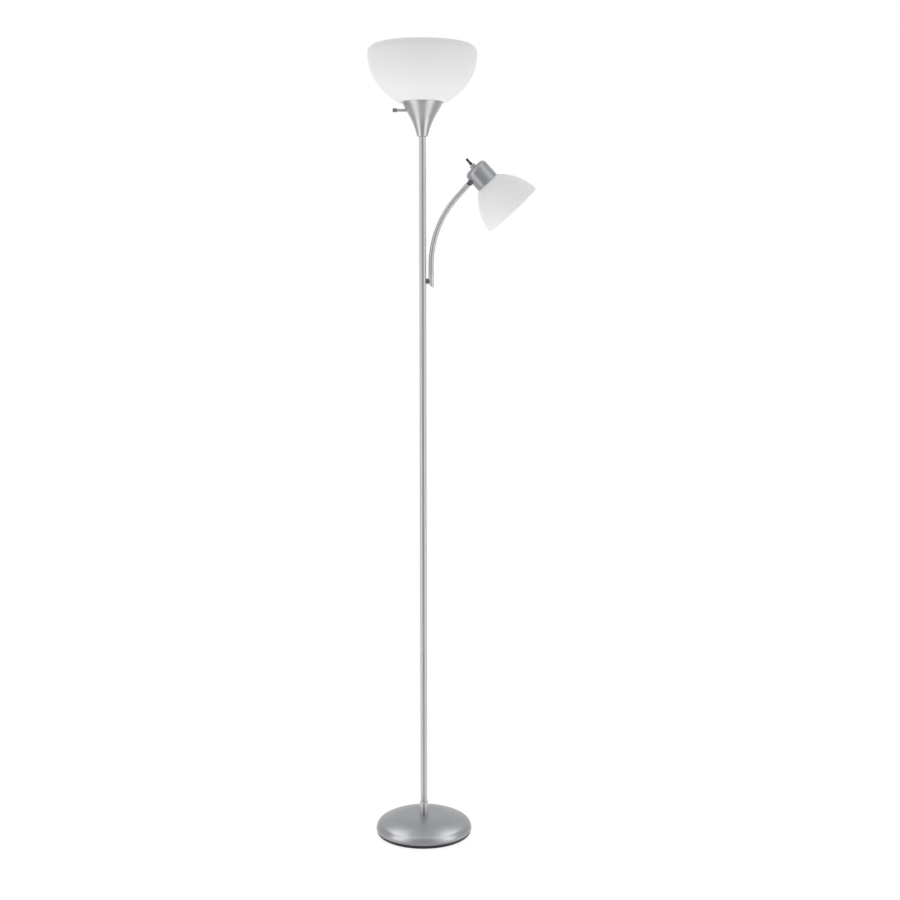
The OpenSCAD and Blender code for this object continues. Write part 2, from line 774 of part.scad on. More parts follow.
module reading_shade() {
    plate = head_flange_z;
    hole = neck_radius - 1 + air;
    end_angle = asin((bell_centre_z - shade_end) / bell_radius);
    inner_radius = bell_radius - shade_wall;
    inner_start = asin((bell_centre_z - shade_start - shade_wall) / inner_radius);
    inner_end = asin((bell_centre_z - shade_end) / inner_radius);
    color([0.94, 0.94, 0.93]) at_head() turned(concat(
        [[hole, plate], [shade_neck_radius, plate], [shade_neck_radius, shade_start - air]],
        arc(bell_centre_r, bell_centre_z, bell_radius, -bell_start_angle, -end_angle, 16),
        arc(bell_centre_r, bell_centre_z, inner_radius, -inner_end, -inner_start, 16),
        [[shade_neck_radius - shade_wall, shade_start + shade_wall / 2],
         [shade_neck_radius - shade_wall, plate + shade_wall], [hole, plate + shade_wall]]
    ));
}

module reading_ring() {
    at_head() shade_ring(shade_neck_radius - shade_wall - 0.6, neck_radius - 1 + slip,
        head_flange_z + shade_wall);
}

module reading_bulb_cap() {
    at_head() bulb_cap(head_cavity_z + contact_height + 0.2);
}

module reading_bulb_glass() {
    at_head() bulb_glass(head_cavity_z + contact_height + 0.2 + cap_length, small_bulb_radius,
        small_bulb_length);
}

// ---- reading switch, which turns about the reading light's axis ----

module reading_switch_stem() {
    boss_end = -housing_back - boss_length;
    color("gainsboro") at_head() translate([0, 0, boss_end - 6])
        cylinder(r = shaft_radius, h = -1 - boss_end + 6);
}

module reading_switch_knob() {
    start = -housing_back - boss_length - 0.6;
    flat_depth = 0.8;
    color([0.12, 0.12, 0.12]) at_head() difference() {
        turned([
            [shaft_radius, start], [key_radius + 0.6, start], [key_radius + 0.6, start - 2],
            [key_radius, start - 3.5], [key_radius + 0.3, start - key_length + 1.5],
            [key_radius - 0.9, start - key_length], [0, start - key_length],
            [0, start - 5.4], [shaft_radius, start - 5.4]
        ]);
        for (side = [-1, 1])
            translate([side * (key_radius + 2 - flat_depth), 0, start - key_length + 3])
                cube([4, 10, key_length - 3.5], center = true);
    }
}

base_cover();
base_weight();
base_pan();
floor_pad();
pan_screws();
base_washer();
base_nut();
base_nipple();
cord_bushing();
base_collar();
foot_plug();
pole_section_1();
pole_section_2();
pole_section_3();
pole_section_4();
pole_coupler_1();
pole_coupler_2();
pole_coupler_3();
top_plug();
top_nipple();
riser_wire();
trumpet();
trumpet_washer();
trumpet_nut();
torchiere_socket();
torchiere_screw_shell();
torchiere_contact();
bowl_shade();
bowl_ring();
torchiere_bulb_cap();
torchiere_bulb_glass();
torchiere_switch_stem();
torchiere_switch_knob();
arm_spacer();
arm_barrel();
arm_nipple();
arm_nut();
gooseneck_1();
gooseneck_2();
gooseneck_3();
gooseneck_4();
gooseneck_5();
gooseneck_6();
head_ferrule();
ferrule_nipple();
ferrule_nut();
reading_housing();
reading_socket();
reading_screw_shell();
reading_contact();
reading_shade();
reading_ring();
reading_bulb_cap();
reading_bulb_glass();
reading_switch_stem();
reading_switch_knob();
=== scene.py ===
"""Torchiere floor lamp with a side reading light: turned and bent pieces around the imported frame.

The lamp stands on z = 0 with its pole on the Z axis and the reading arm towards +X. Lengths are in metres.
"""

import json
import math

import bpy
import numpy as np
from bpy.props import FloatProperty, FloatVectorProperty, IntProperty, PointerProperty
from bpy.types import Operator, Panel, PropertyGroup
from mathutils import Matrix, Vector


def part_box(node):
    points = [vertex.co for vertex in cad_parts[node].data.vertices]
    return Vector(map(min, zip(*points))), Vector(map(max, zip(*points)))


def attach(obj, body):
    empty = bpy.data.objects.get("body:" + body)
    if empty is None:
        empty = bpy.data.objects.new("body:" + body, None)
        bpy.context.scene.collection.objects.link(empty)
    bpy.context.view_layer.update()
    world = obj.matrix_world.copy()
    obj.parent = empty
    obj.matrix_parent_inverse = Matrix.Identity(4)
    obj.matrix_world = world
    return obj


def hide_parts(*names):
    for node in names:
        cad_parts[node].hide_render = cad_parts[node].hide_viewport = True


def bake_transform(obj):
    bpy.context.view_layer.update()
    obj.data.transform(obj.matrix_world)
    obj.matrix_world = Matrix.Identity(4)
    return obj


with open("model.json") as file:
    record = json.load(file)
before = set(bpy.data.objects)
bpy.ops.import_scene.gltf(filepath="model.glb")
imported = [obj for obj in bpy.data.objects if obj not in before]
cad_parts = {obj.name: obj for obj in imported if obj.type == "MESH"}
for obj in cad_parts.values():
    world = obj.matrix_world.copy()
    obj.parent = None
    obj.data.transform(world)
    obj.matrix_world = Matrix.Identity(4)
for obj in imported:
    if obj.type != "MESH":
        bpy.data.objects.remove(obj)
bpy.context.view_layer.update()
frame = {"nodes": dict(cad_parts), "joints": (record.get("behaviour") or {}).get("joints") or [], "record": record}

bl_info = {
    "name": "Torchiere Floor Lamp",
    "version": (1, 0, 0),
    "blender": (4, 5, 0),
    "location": "View3D > Sidebar > Lamp",
    "description": "Builds the finished pieces of a torchiere floor lamp around its frame",
    "category": "Add Mesh",
}

NODES = frame["nodes"]
SLOT_OF = {part["node"]: part["material_slot"] for part in frame["record"]["subparts"]}
JOINTS = {joint["name"]: joint for joint in frame["joints"]}
# gap left between pieces that turn or clip together, and between pieces that fit closely
AIR = 0.0003
SLIP = 0.0001
ARM_SEGMENTS = 6
# an edge is drawn sharp where its faces meet at more than this
SHARP_ANGLE = math.radians(38)
WHITE = (1.0, 1.0, 1.0, 1.0)
DUST = (0.6, 0.58, 0.55, 1.0)
GLOSSY_PIECES = "Pieces that the side lights shine on"
# where the tall and the raised side lights stand before they are turned about the lamp, and their sizes
STRIP_PLACE, STRIP_SIZE = (0.0, -1.65, 1.6), (0.85, 3.0)
RAISED_PLACE, RAISED_SIZE = (0.0, -1.0, 1.5), (1.0, 0.8)
# share of half a turn from the camera, and the brightness that shiny metal finds there
STUDIO_WALL = (
    (0.0, 0.77), (0.12, 0.8), (0.26, 1.19), (0.37, 1.18), (0.5, 0.88), (0.62, 0.84), (0.8, 0.92), (1.0, 0.92)
)


# ---- settings ----


def length(name, description, default):
    """A setting that is a length in metres."""
    return FloatProperty(name=name, description=description, default=default, unit="LENGTH", precision=5)


def number(name, description, default):
    """A setting that is a plain number."""
    return FloatProperty(name=name, description=description, default=default)


def angle(name, description, degrees):
    """A setting that is an angle, given here in degrees."""
    return FloatProperty(name=name, description=description, default=math.radians(degrees), unit="ROTATION")


def colour(name, description, default):
    """A setting that is a linear colour."""
    return FloatVectorProperty(
        name=name, description=description, default=default, size=3, subtype="COLOR", min=0.0, max=1.0
    )


class LampSizes(PropertyGroup):
    """Curves and thicknesses of the lamp's pieces. Places and overall sizes come from the frame."""

    base_sheet: length("Base sheet", "Thickness of the base cover's sheet", 0.0015)
    base_ring: length("Base ring", "Height of the base cover's widest ring", 0.0093)
    base_curl: length("Base curl", "Radius of the curled edge under the base cover", 0.002)
    base_shoulder: length("Base shoulder", "Radius of the base cover's outer shoulder", 0.02)
    base_flat: length("Base flat", "Radius of the flat on top of the base cover", 0.04)
    collar_edge: length("Collar edge", "Rounding of the collar's ends", 0.0008)
    pole_seam: length("Pole seam", "Rounding at the ends of the pole's tubes", 0.00035)
    tube_wall: length("Tube wall", "Wall of the pole's tubes", 0.001)
    trumpet_foot: length("Trumpet foot", "Radius at the foot of the trumpet's flare", 0.0124)
    trumpet_flare: length("Trumpet flare", "Radius of the trumpet's curved lower flare", 0.15)
    trumpet_sheet: length("Trumpet sheet", "Thickness of the trumpet's sheet", 0.0012)
    flare_start: angle("Flare start", "Angle from upright where the flare begins", 12)
    flare_end: angle("Flare end", "Angle from upright of the trumpet's upper cone", 30)
    shade_wall: length("Shade wall", "Thickness of both plastic shades", 0.0025)
    bowl_side: length("Bowl side", "Radius of the bowl's side curve", 0.1094)
    bowl_lower: length("Bowl lower curve", "Radius of the bowl's flatter lower curve", 0.26)
    bowl_join: angle("Bowl join", "Angle below level where the lower curve takes over", 47)
    bowl_rim: length("Bowl rim", "Radius of the bowl's in-turned rim", 0.0185)
    bowl_hole: length("Bowl hole", "Least radius of the bowl's hole for its socket", 0.019)
    bell_curve: length("Bell curve", "Radius of the reading shade's bell curve", 0.12)
    bell_start: angle("Bell start", "Angle from its axis where the bell begins to flare", 50)
    housing_edge: length("Housing edge", "Rounding of the housing's back edge", 0.011)
    housing_sheet: length("Housing sheet", "Thickness of the housing's sheet", 0.0012)
    boss: length("Boss", "Radius and length of the boss on the housing's back", 0.0067)
    boss_bore: length("Boss bore", "Radius of the hole through the boss, behind its lip", 0.0053)
    shade_hole: length("Shade hole", "Radius of the reading shade's hole for its socket", 0.0183)
    bulb_throat: length("Bulb throat", "Radius of both bulbs at their caps", 0.0124)
    bulb_wall: length("Bulb wall", "Thickness of the bulbs' glass", 0.0012)
    stem: length("Switch stem", "Radius of both switches' stems inside their knobs", 0.0019)
    flute: length("Flute", "Depth of the flutes in the torchiere's knob", 0.00035)
    arm_bend: length("Arm bend", "Radius of the arm's bend", 0.225)
    arm_turn: angle("Arm turn", "Angle that the arm bends through", 42)
    arm_rise: length("Arm rise", "Length of the arm's straight start", 0.024)
    arm_run: length("Arm run", "Length of the arm's straight end", 0.0373)
    coil_pitch: length("Coil pitch", "Distance between the turns of the arm's wound strip", 0.0021)
    coil_groove: length("Coil groove", "Depth of the groove between the turns", 0.00016)
    arm_wall: length("Arm wall", "Wall of the arm's wound tube", 0.0013)
    around: IntProperty(
        name="Steps around", description="Steps around a large turned piece", default=160, min=24
    )


class LampColours(PropertyGroup):
    """Finishes of the lamp's pieces, as linear colours."""

    paint: colour("Silver paint", "Metallic paint of the base cover", (0.315, 0.32, 0.338))
    pole: colour("Pole", "Satin metal of the pole", (0.41, 0.415, 0.423))
    trumpet: colour("Trumpet", "Satin metal of the trumpet and the switch stem", (0.52, 0.52, 0.515))
    arm: colour("Arm", "Satin metal of the flexible arm", (0.5, 0.505, 0.512))
    fitting: colour("Dark fitting", "Ferrule and spacer of the arm", (0.13, 0.135, 0.14))
    housing: colour("Housing", "Paint of the reading light's housing", (0.36, 0.372, 0.388))
    shade: colour("Shade", "White plastic of both shades", (0.91, 0.91, 0.902))
    black: colour("Black plastic", "Base pan, sockets and key", (0.012, 0.012, 0.013))
    knob: colour("Knob", "Grey plastic of the torchiere's switch knob", (0.2, 0.2, 0.205))
    glass: colour("Bulb glass", "Frosted glass of the bulbs", (0.9, 0.9, 0.88))


class StageSettings(PropertyGroup):
    """Camera, floor and lights around the lamp."""

    camera_turn: angle("Camera turn", "Angle about the lamp that the camera stands left of its front", 6.0)
    camera_place: FloatVectorProperty(
        name="Camera place", description="Where the camera stands, before it is turned about the lamp",
        default=(0.0615, -3.224, 1.292), size=3, subtype="TRANSLATION", unit="LENGTH"
    )
    camera_down: angle("Camera down", "Angle that the camera looks below level", 6.81)
    lens: number("Lens", "Focal length of the camera in millimetres", 56.7)
    floor_half: length("Floor half width", "Half the width of the floor", 9.0)
    strip_angle: angle("Strip angle", "Angle about the lamp from the camera to each side light", 64.0)
    side_angle: angle("Side angle", "Angle about the lamp from the camera to each raised side light", 112.0)
    strip_power: number("Strip power", "Power of each tall side light in watts", 14.5)
    side_power: number("Side power", "Power of each raised side light in watts", 6.0)
    top_power: number("Top power", "Power of the overhead light in watts", 4.0)
    sky: number("Surroundings", "Brightness of the studio before the lamp", 0.46)
    back_sky: number("Surroundings behind", "Brightness of the studio behind the lamp", 0.9)
    floor_light: number("Floor light", "Light that the far floor sends up", 1.1)


# ---- shapes ----


def arc(r, z, radius, start, end, count):
    """Points (r, z) + radius * (cos, sin) of angles spaced evenly from start to end, in radians."""
    t = np.linspace(start, end, count)
    return np.stack([r + radius * np.cos(t), z + radius * np.sin(t)], axis=1)


def soften(points, radius, steps=4):
    """Rounds the inner corners of an open line. Each corner p becomes the quadratic Bezier curve from the
    point radius before p to the point radius after it, with p as its handle. radius is at most 0.45 of the
    shorter side."""
    p = np.asarray(points, float)
    side = np.diff(p, axis=0)
    size = np.linalg.norm(side, axis=1)
    reach = np.minimum(radius, 0.45 * np.minimum(size[:-1], size[1:]))[:, None]
    unit = side / size[:, None]
    before, after = p[1:-1] - unit[:-1] * reach, p[1:-1] + unit[1:] * reach
    t = np.linspace(0, 1, steps + 1)[None, :, None]
    curve = before[:, None] * (1 - t) ** 2 + 2 * p[1:-1, None] * t * (1 - t) + after[:, None] * t**2
    return np.concatenate([p[:1], curve.reshape(-1, 2), p[-1:]])


def loop(points, radius, steps=4):
    """Closes a line of (r, z) points and rounds all its corners, the first too: the line starts at the
    middle of its first side, so that no corner falls on the seam."""
    p = np.asarray(points, float)
    middle = (p[:1] + p[1:2]) / 2
    return soften(np.concatenate([middle, p[1:], p[:1], middle]), radius, steps)[:-1]


def distances(profile, closed):
    """Distance along a profile of each of its points, and its whole length."""
    ends = np.concatenate([profile, profile[:1]]) if closed else profile
    along = np.concatenate([[0.0], np.cumsum(np.linalg.norm(np.diff(ends, axis=0), axis=1))])
    return along[: len(profile)], along[-1]


def turning(profile, closed):
    """How sharply a profile turns at each point: 0 where it is straight, 1 on an outside corner of a
    millimetre's radius or less. It is the turning angle over the length of line around the point, times a
    millimetre."""
    before, after = profile - np.roll(profile, 1, axis=0), np.roll(profile, -1, axis=0) - profile
    cross = before[:, 0] * after[:, 1] - before[:, 1] * after[:, 0]
    size = np.linalg.norm(before, axis=1) * np.linalg.norm(after, axis=1) + 1e-12
    reach = (np.linalg.norm(before, axis=1) + np.linalg.norm(after, axis=1)) / 2 + 1e-9
    curvature = np.arcsin(np.clip(cross / size, -1, 1)) / reach
    if not closed:
        curvature[[0, -1]] = 0
    return np.clip(curvature * 0.001, 0, 1)


def turned(profile, steps, closed=False, radius_of=None):
    """Surface of revolution: the point (r, z) at angle t goes to (r cos t, r sin t, z). radius_of(r, z, t),
    if given, replaces r, for flutes and flats. Returns the grid, each row's distance and how sharp its edge
    is."""
    profile = np.asarray(profile, float)
    t = np.pi / 2 + np.arange(steps) * 2 * np.pi / steps
    r = np.repeat(profile[:, :1], steps, axis=1)
    z = np.repeat(profile[:, 1:], steps, axis=1)
    if radius_of is not None:
        r = radius_of(r, z, t[None, :])
    grid = np.stack([r * np.cos(t), r * np.sin(t), z], axis=2)
    return grid, distances(profile, closed)[0], turning(profile, closed)


def surface(name, grid, along, edge, material, place=None, closed=False):
    """Makes a mesh of a grid of points whose columns run round. A row whose points coincide becomes one
    pole point. The attribute turned keeps each point as it was before place moved it, and edge how sharp
    its corner is. The UV map is (share of the way round, distance along the profile)."""
    rows, cols = grid.shape[:2]
    index = np.arange(rows * cols).reshape(rows, cols)
    pole = np.ptp(grid, axis=1).max(axis=1) < 1e-9
    index[pole] = index[pole][:, :1]
    low = index if closed else index[:-1]
    high = np.roll(index, -1, axis=0) if closed else index[1:]
    corners = np.stack([low, np.roll(low, -1, 1), np.roll(high, -1, 1), high], axis=2).reshape(-1, 4)
    step = np.arange(cols) / cols
    v_low = np.repeat(along[: len(low)], cols)
    v_high = np.repeat(np.roll(along, -1)[: len(low)] if closed else along[1:], cols)
    if closed:
        v_high[-cols:] = along[-1] + np.linalg.norm(grid[-1, 0] - grid[0, 0])
    u_low, u_high = np.tile(step, len(low)), np.tile(step + 1 / cols, len(low))
    uv = np.stack(
        [np.stack([u_low, v_low], 1), np.stack([u_high, v_low], 1),
         np.stack([u_high, v_high], 1), np.stack([u_low, v_high], 1)], axis=1
    )
    at_low, at_high = corners[:, 0] == corners[:, 1], corners[:, 2] == corners[:, 3]
    whole = ~(at_low | at_high)
    # between two pole points there is no face at all
    at_low, at_high = at_low & ~at_high, at_high & ~at_low
    kept = ((whole, [0, 1, 2, 3]), (at_low, [0, 2, 3]), (at_high, [0, 1, 2]))
    faces = [face for chosen, ends in kept for face in corners[chosen][:, ends].tolist()]
    map_uv = np.concatenate([uv[chosen][:, ends].reshape(-1, 2) for chosen, ends in kept])
    used, back = np.unique(np.concatenate(faces), return_inverse=True)
    sizes = np.array([len(f) for f in faces])
    faces = [part.tolist() for part in np.split(back, np.cumsum(sizes)[:-1])]
    points = grid.reshape(-1, 3)[used]
    placed = points if place is None else points @ place[0].T + place[1]
    mesh = bpy.data.meshes.new(name)
    mesh.from_pydata(placed.tolist(), [], faces)
    mesh.uv_layers.new(name="UVMap").data.foreach_set("uv", map_uv.astype(np.float32).ravel())
    mesh.attributes.new("turned", "FLOAT_VECTOR", "POINT").data.foreach_set(
        "vector", points.astype(np.float32).ravel()
    )
    mesh.attributes.new("edge", "FLOAT", "POINT").data.foreach_set(
        "value", np.repeat(edge, cols)[used].astype(np.float32)
    )
    mesh.shade_smooth()
    mesh.set_sharp_from_angle(angle=SHARP_ANGLE)
    piece = bpy.data.objects.new(name, mesh)
    bpy.context.scene.collection.objects.link(piece)
    mesh.materials.append(material)
    return piece


def facing(axis, toward, origin):
    """A place whose local +Z is axis and whose local +X is the part of toward that is square to it."""
    z = np.asarray(axis, float) / np.linalg.norm(axis)
    x = np.asarray(toward, float)
    x = x - (x @ z) * z
    x /= np.linalg.norm(x)
    return np.stack([x, np.cross(z, x), z], axis=1), np.asarray(origin, float)


def drill(piece, origin, axis, radius, reach):
    """Bores a round hole from origin along axis, with a cylinder that a Boolean modifier takes away."""
    line = [[0, 0], [radius, 0], [radius, reach], [0, reach]]
    place = facing(axis, (0.0, 1.0, 0.3), origin)
    cutter = surface("cutter", *turned(line, 48), piece.data.materials[0], place)
    cut = piece.modifiers.new("hole", "BOOLEAN")
    cut.operation, cut.solver, cut.object = "DIFFERENCE", "EXACT", cutter
    bpy.context.view_layer.update()
    whole = piece.data
    graph = bpy.context.evaluated_depsgraph_get()
    piece.data = bpy.data.meshes.new_from_object(
        piece.evaluated_get(graph), preserve_all_data_layers=True, depsgraph=graph
    )
    piece.modifiers.clear()
    piece.data.name = piece.name
    bpy.data.meshes.remove(whole)
    bpy.data.objects.remove(cutter)
    piece.data.set_sharp_from_angle(angle=SHARP_ANGLE)


def finish_piece(piece, body, slot, *nodes):
    """Lets a finished piece ride on its body and stand for its nodes."""
    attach(piece, body)
    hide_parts(*nodes)


def head_place():
    """The reading light's place: local +Z along its axis, local +X towards the arm."""
    switch = JOINTS["reading_switch_turn"]
    light = -np.array(switch["axis"])
    wrist = np.array(JOINTS["head_bend"]["pos_m"])
    back = np.array(switch["pos_m"])
    # the arm enters square to the light's axis, so the head's own origin is the foot of that line
    origin = back + light * ((wrist - back) @ light)
    return facing(light, wrist - origin, origin)


def head_span(node):
    """Lowest and highest height of a node along the reading light's axis, and its widest radius about it."""
    turn, origin = head_place()
    count = len(NODES[node].data.vertices)
    points = np.empty(count * 3)
    NODES[node].data.vertices.foreach_get("co", points)
    own = (points.reshape(-1, 3) - origin) @ turn
    return own[:, 2].min(), own[:, 2].max(), np.hypot(own[:, 0], own[:, 1]).max()


# ---- materials ----


class Wiring:
    """Adds nodes to one tree. A keyword names an input, or its number after an underscore, and its value is
    a socket to join or a number to set."""

    def __init__(self, tree):
        """Starts on this node tree."""
        self.tree = tree

    def add(self, kind, settings=None, **inputs):
        """A new node with these settings and inputs."""
        node = self.tree.nodes.new(kind)
        for name, value in (settings or {}).items():
            setattr(node, name, value)
        for name, value in inputs.items():
            self.join(node, int(name[1:]) if name[0] == "_" else name.replace("_", " "), value)
        return node

    def maths(self, operation, first, second=0.0):
        """The result of a Math node."""
        return self.add("ShaderNodeMath", {"operation": operation}, _0=first, _1=second).outputs[0]

    def spread(self, value, low, high, to_low=0.0, to_high=1.0, smooth=False):
        """value carried from the range low to high onto the range to_low to to_high, and kept inside it."""
        kind = {"interpolation_type": "SMOOTHSTEP" if smooth else "LINEAR"}
        node = self.add("ShaderNodeMapRange", kind, Value=value, From_Min=low, From_Max=high)
        self.join(node, "To Min", to_low)
        self.join(node, "To Max", to_high)
        return node.outputs[0]

    def noise(self, place, scale, detail, roughness=0.5):
        """The brightness of a Noise Texture."""
        node = self.add("ShaderNodeTexNoise", Vector=place, Scale=scale, Detail=detail, Roughness=roughness)
        return node.outputs[0]

    def join(self, node, name, value):
        """Joins a socket to an input of the node, or sets the input to a number."""
        if isinstance(value, bpy.types.NodeSocket):
            self.tree.links.new(value, node.inputs[name])
        else:
            node.inputs[name].default_value = value


def group(name, inputs, outputs, fill):
    """A shader node group with these sockets, filled by fill(wiring, group input, group output)."""
    if name in bpy.data.node_groups:
        return bpy.data.node_groups[name]
    tree = bpy.data.node_groups.new(name, "ShaderNodeTree")
    for label, kind, default in inputs:
        socket = tree.interface.new_socket(name=label, in_out="INPUT", socket_type=kind)
        if default is not None:
            socket.default_value = default
    for label, kind in outputs:
        tree.interface.new_socket(name=label, in_out="OUTPUT", socket_type=kind)
    fill(Wiring(tree), tree.nodes.new("NodeGroupInput"), tree.nodes.new("NodeGroupOutput"))
    return tree


def fill_grain(w, source, sink):
    """Fine lines: noise on the place stretched by three factors, with its middle greys drawn apart."""
    place, stretch = source.outputs[:2]
    stretched = w.add("ShaderNodeVectorMath", {"operation": "MULTIPLY"}, _0=place, _1=stretch)
    w.join(sink, 0, w.spread(w.noise(stretched.outputs[0], 1.0, 3.0, 0.6), 0.25, 0.75))


def fill_flakes(w, source, sink):
    """Metal flakes in paint: each Voronoi cell has its own brightness, under a slow orange-peel wave."""
    place, density = source.outputs[:2]
    scaled = w.add("ShaderNodeVectorMath", {"operation": "SCALE"}, _0=place, Scale=density)
    cells = w.add("ShaderNodeTexVoronoi", Vector=scaled.outputs[0], Scale=1.0)
    w.join(sink, 0, w.add("ShaderNodeSeparateColor", Color=cells.outputs["Color"]).outputs[0])
    w.join(sink, 1, w.noise(place, 420.0, 1.0))


def fill_handling(w, source, sink):
    """Faint smudges, slow noise whose blotches break up into finer ones, and dust where it faces up."""
    place, size = source.outputs[:2]
    w.join(sink, 0, w.spread(w.noise(place, size, 5.0, 0.65), 0.35, 0.7))
    speck = w.spread(w.noise(place, 900.0, 2.0), 0.52, 0.72)
    normal = w.add("ShaderNodeSeparateXYZ", Vector=w.add("ShaderNodeNewGeometry").outputs["Normal"])
    w.join(sink, 1, w.maths("MULTIPLY", speck, w.spread(normal.outputs[2], 0.55, 1.0)))


def fill_mould(w, source, sink):
    """Moulded plastic: a fine pebble, and a slow cloud in the colour."""
    place, fineness = source.outputs[:2]
    w.join(sink, 0, w.noise(place, fineness, 4.0, 0.7))
    w.join(sink, 1, w.noise(place, 14.0, 3.0))


def groups():
    """The effects that several materials share."""
    vector, value = "NodeSocketVector", "NodeSocketFloat"
    return {
        "grain": group(
            "Metal grain", [("Place", vector, None), ("Stretch", vector, (1.0, 1.0, 1.0))],
            [("Lines", value)], fill_grain
        ),
        "flakes": group(
            "Paint flakes", [("Place", vector, None), ("Density", value, 2200.0)],
            [("Sparkle", value), ("Peel", value)], fill_flakes
        ),
        "handling": group(
            "Handling", [("Place", vector, None), ("Size", value, 18.0)],
            [("Smudge", value), ("Dust", value)], fill_handling
        ),
        "mould": group(
            "Moulded plastic", [("Place", vector, None), ("Fineness", value, 1500.0)],
            [("Pebble", value), ("Cloud", value)], fill_mould
        ),
    }


def shaded(colour_value, share):
    """A colour times a share, kept at most 1, with alpha 1."""
    return tuple(min(1.0, part * share) for part in colour_value) + (1.0,)


class Finish:
    """A material under construction: its wiring, its Principled shader and the place that its patterns
    read. That place is where the point was when it was turned, or for a frame node its Object
    coordinates."""

    def __init__(self, name, own_place, **shader):
        """A new material of this name. shader holds the Principled shader's own numbers and colours."""
        self.material = bpy.data.materials.new(name)
        self.material.use_nodes = True
        tree = self.material.node_tree
        tree.nodes.clear()
        self.w = Wiring(tree)
        self.shader = self.w.add("ShaderNodeBsdfPrincipled")
        for label, value in shader.items():
            self.shader.inputs[label.replace("_", " ")].default_value = value
        out = self.w.add("ShaderNodeOutputMaterial")
        self.w.join(out, "Surface", self.shader.outputs[0])
        if own_place:
            self.place = self.w.add("ShaderNodeAttribute", {"attribute_name": "turned"}).outputs["Vector"]
        else:
            self.place = self.w.add("ShaderNodeTexCoord").outputs["Object"]
        self.groups = groups()

    def effect(self, name, **inputs):
        """One of the shared effects, placed in this material with its own values."""
        node = self.w.add("ShaderNodeGroup", {"node_tree": self.groups[name]})
        self.w.join(node, "Place", self.place)
        for label, value in inputs.items():
            self.w.join(node, label, value)
        return node

    def attribute(self, name):
        """A number kept on the piece's points."""
        return self.w.add("ShaderNodeAttribute", {"attribute_name": name}).outputs["Fac"]

    def between(self, factor, low, high):
        """low where factor is 0 and high where it is 1, as a number."""
        return self.w.spread(factor, 0.0, 1.0, low, high)

    def blend(self, factor, first, second):
        """first where factor is 0 and second where it is 1, as a colour."""
        return self.w.add("ShaderNodeMix", {"data_type": "RGBA"}, _0=factor, _6=first, _7=second).outputs[2]

    def turning_away(self, last, most):
        """0 where the surface faces the viewer and most where it has turned away by the share last."""
        away = self.w.add("ShaderNodeLayerWeight", Blend=0.5).outputs["Facing"]
        return self.w.spread(away, 0.0, last, 0.0, most)

    def roughness(self, first, second=None):
        """The shader's roughness: one number over the surface, or the sum of two."""
        total = first if second is None else self.w.maths("ADD", first, second)
        self.w.join(self.shader, "Roughness", total)

    def colour(self, socket):
        """The shader's base colour."""
        self.w.join(self.shader, "Base Color", socket)

    def dusty(self, handling, share, clean, dust=DUST):
        """The shader's base colour: clean, with this share of dust where the handling group puts it."""
        self.colour(self.blend(self.between(handling.outputs[1], 0.0, share), clean, dust))

    def bump(self, height, distance, strength):
        """Relief of this height in metres."""
        node = self.w.add("ShaderNodeBump", Height=height, Distance=distance, Strength=strength)
        self.w.join(self.shader, "Normal", node.outputs[0])


def satin_metal(name, tone, stretch, rough, own_place=True, wear=0.5, lines=0.10, painted_sheen=0.0):
    """Satin metal with a fine grain, smudges that change its gloss, and edges rubbed lighter. painted_sheen
    is a painted highlight: it lightens the colour towards white where the surface turns away."""
    f = Finish(name, own_place, Metallic=1.0)
    grain = f.effect("grain", Stretch=stretch).outputs[0]
    handling = f.effect("handling", Size=16.0)
    base = f.blend(grain, shaded(tone, 1 - lines), shaded(tone, 1 + lines))
    dull = f.blend(f.between(handling.outputs[0], 0.0, 0.22), base, shaded(tone, 0.82))
    rubbed = f.blend(f.between(f.attribute("edge"), 0.0, wear), dull, shaded(tone, 1.45))
    # painted sheen: the colour runs towards white where the surface turns away from the viewer
    f.dusty(handling, 0.05, f.blend(f.turning_away(0.5, painted_sheen), rubbed, WHITE), (0.5, 0.48, 0.45, 1.0))
    uneven = f.between(grain, rough - 0.03, rough + 0.05)
    f.roughness(uneven, f.between(handling.outputs[0], 0.0, 0.05))
    f.bump(grain, 0.000006, 0.4)
    return f.material


def metallic_paint(name, tone, rough, flake=2200.0, own_place=True, sparkle=0.16, metal=0.75):
    """Sprayed metallic paint: flakes of slightly different brightness under a clear coat with orange peel."""
    f = Finish(name, own_place, Metallic=metal, Coat_Weight=0.25, Coat_Roughness=0.22)
    flakes = f.effect("flakes", Density=flake)
    handling = f.effect("handling", Size=9.0)
    base = f.blend(flakes.outputs[0], shaded(tone, 1 - sparkle), shaded(tone, 1 + sparkle))
    dull = f.blend(f.between(handling.outputs[0], 0.0, 0.12), base, shaded(tone, 0.86))
    rubbed = f.blend(f.between(f.attribute("edge"), 0.0, 0.35), dull, shaded(tone, 1.5))
    f.dusty(handling, 0.08, rubbed, (0.55, 0.53, 0.5, 1.0))
    uneven = f.between(flakes.outputs[0], rough - 0.04, rough + 0.05)
    f.roughness(uneven, f.between(handling.outputs[0], 0.0, 0.04))
    f.bump(flakes.outputs[1], 0.00004, 0.35)
    return f.material


def moulded(name, tone, rough, fineness=1500.0, own_place=True, relief=0.00003, dust=0.08, **shader):
    """Moulded plastic or rubber: fine pebble, a faint cloud in the colour, paler worn edges and a little
    dust."""
    f = Finish(name, own_place, **shader)
    mould = f.effect("mould", Fineness=fineness)
    handling = f.effect("handling", Size=12.0)
    base = f.blend(mould.outputs[1], shaded(tone, 0.93), shaded(tone, 1.06))
    rubbed = f.blend(f.between(f.attribute("edge"), 0.0, 0.3), base, shaded(tone, 1.7))
    f.dusty(handling, dust, rubbed)
    f.roughness(f.between(handling.outputs[0], rough - 0.05, rough + 0.06))
    f.bump(mould.outputs[0], relief, 0.6)
    return f.material


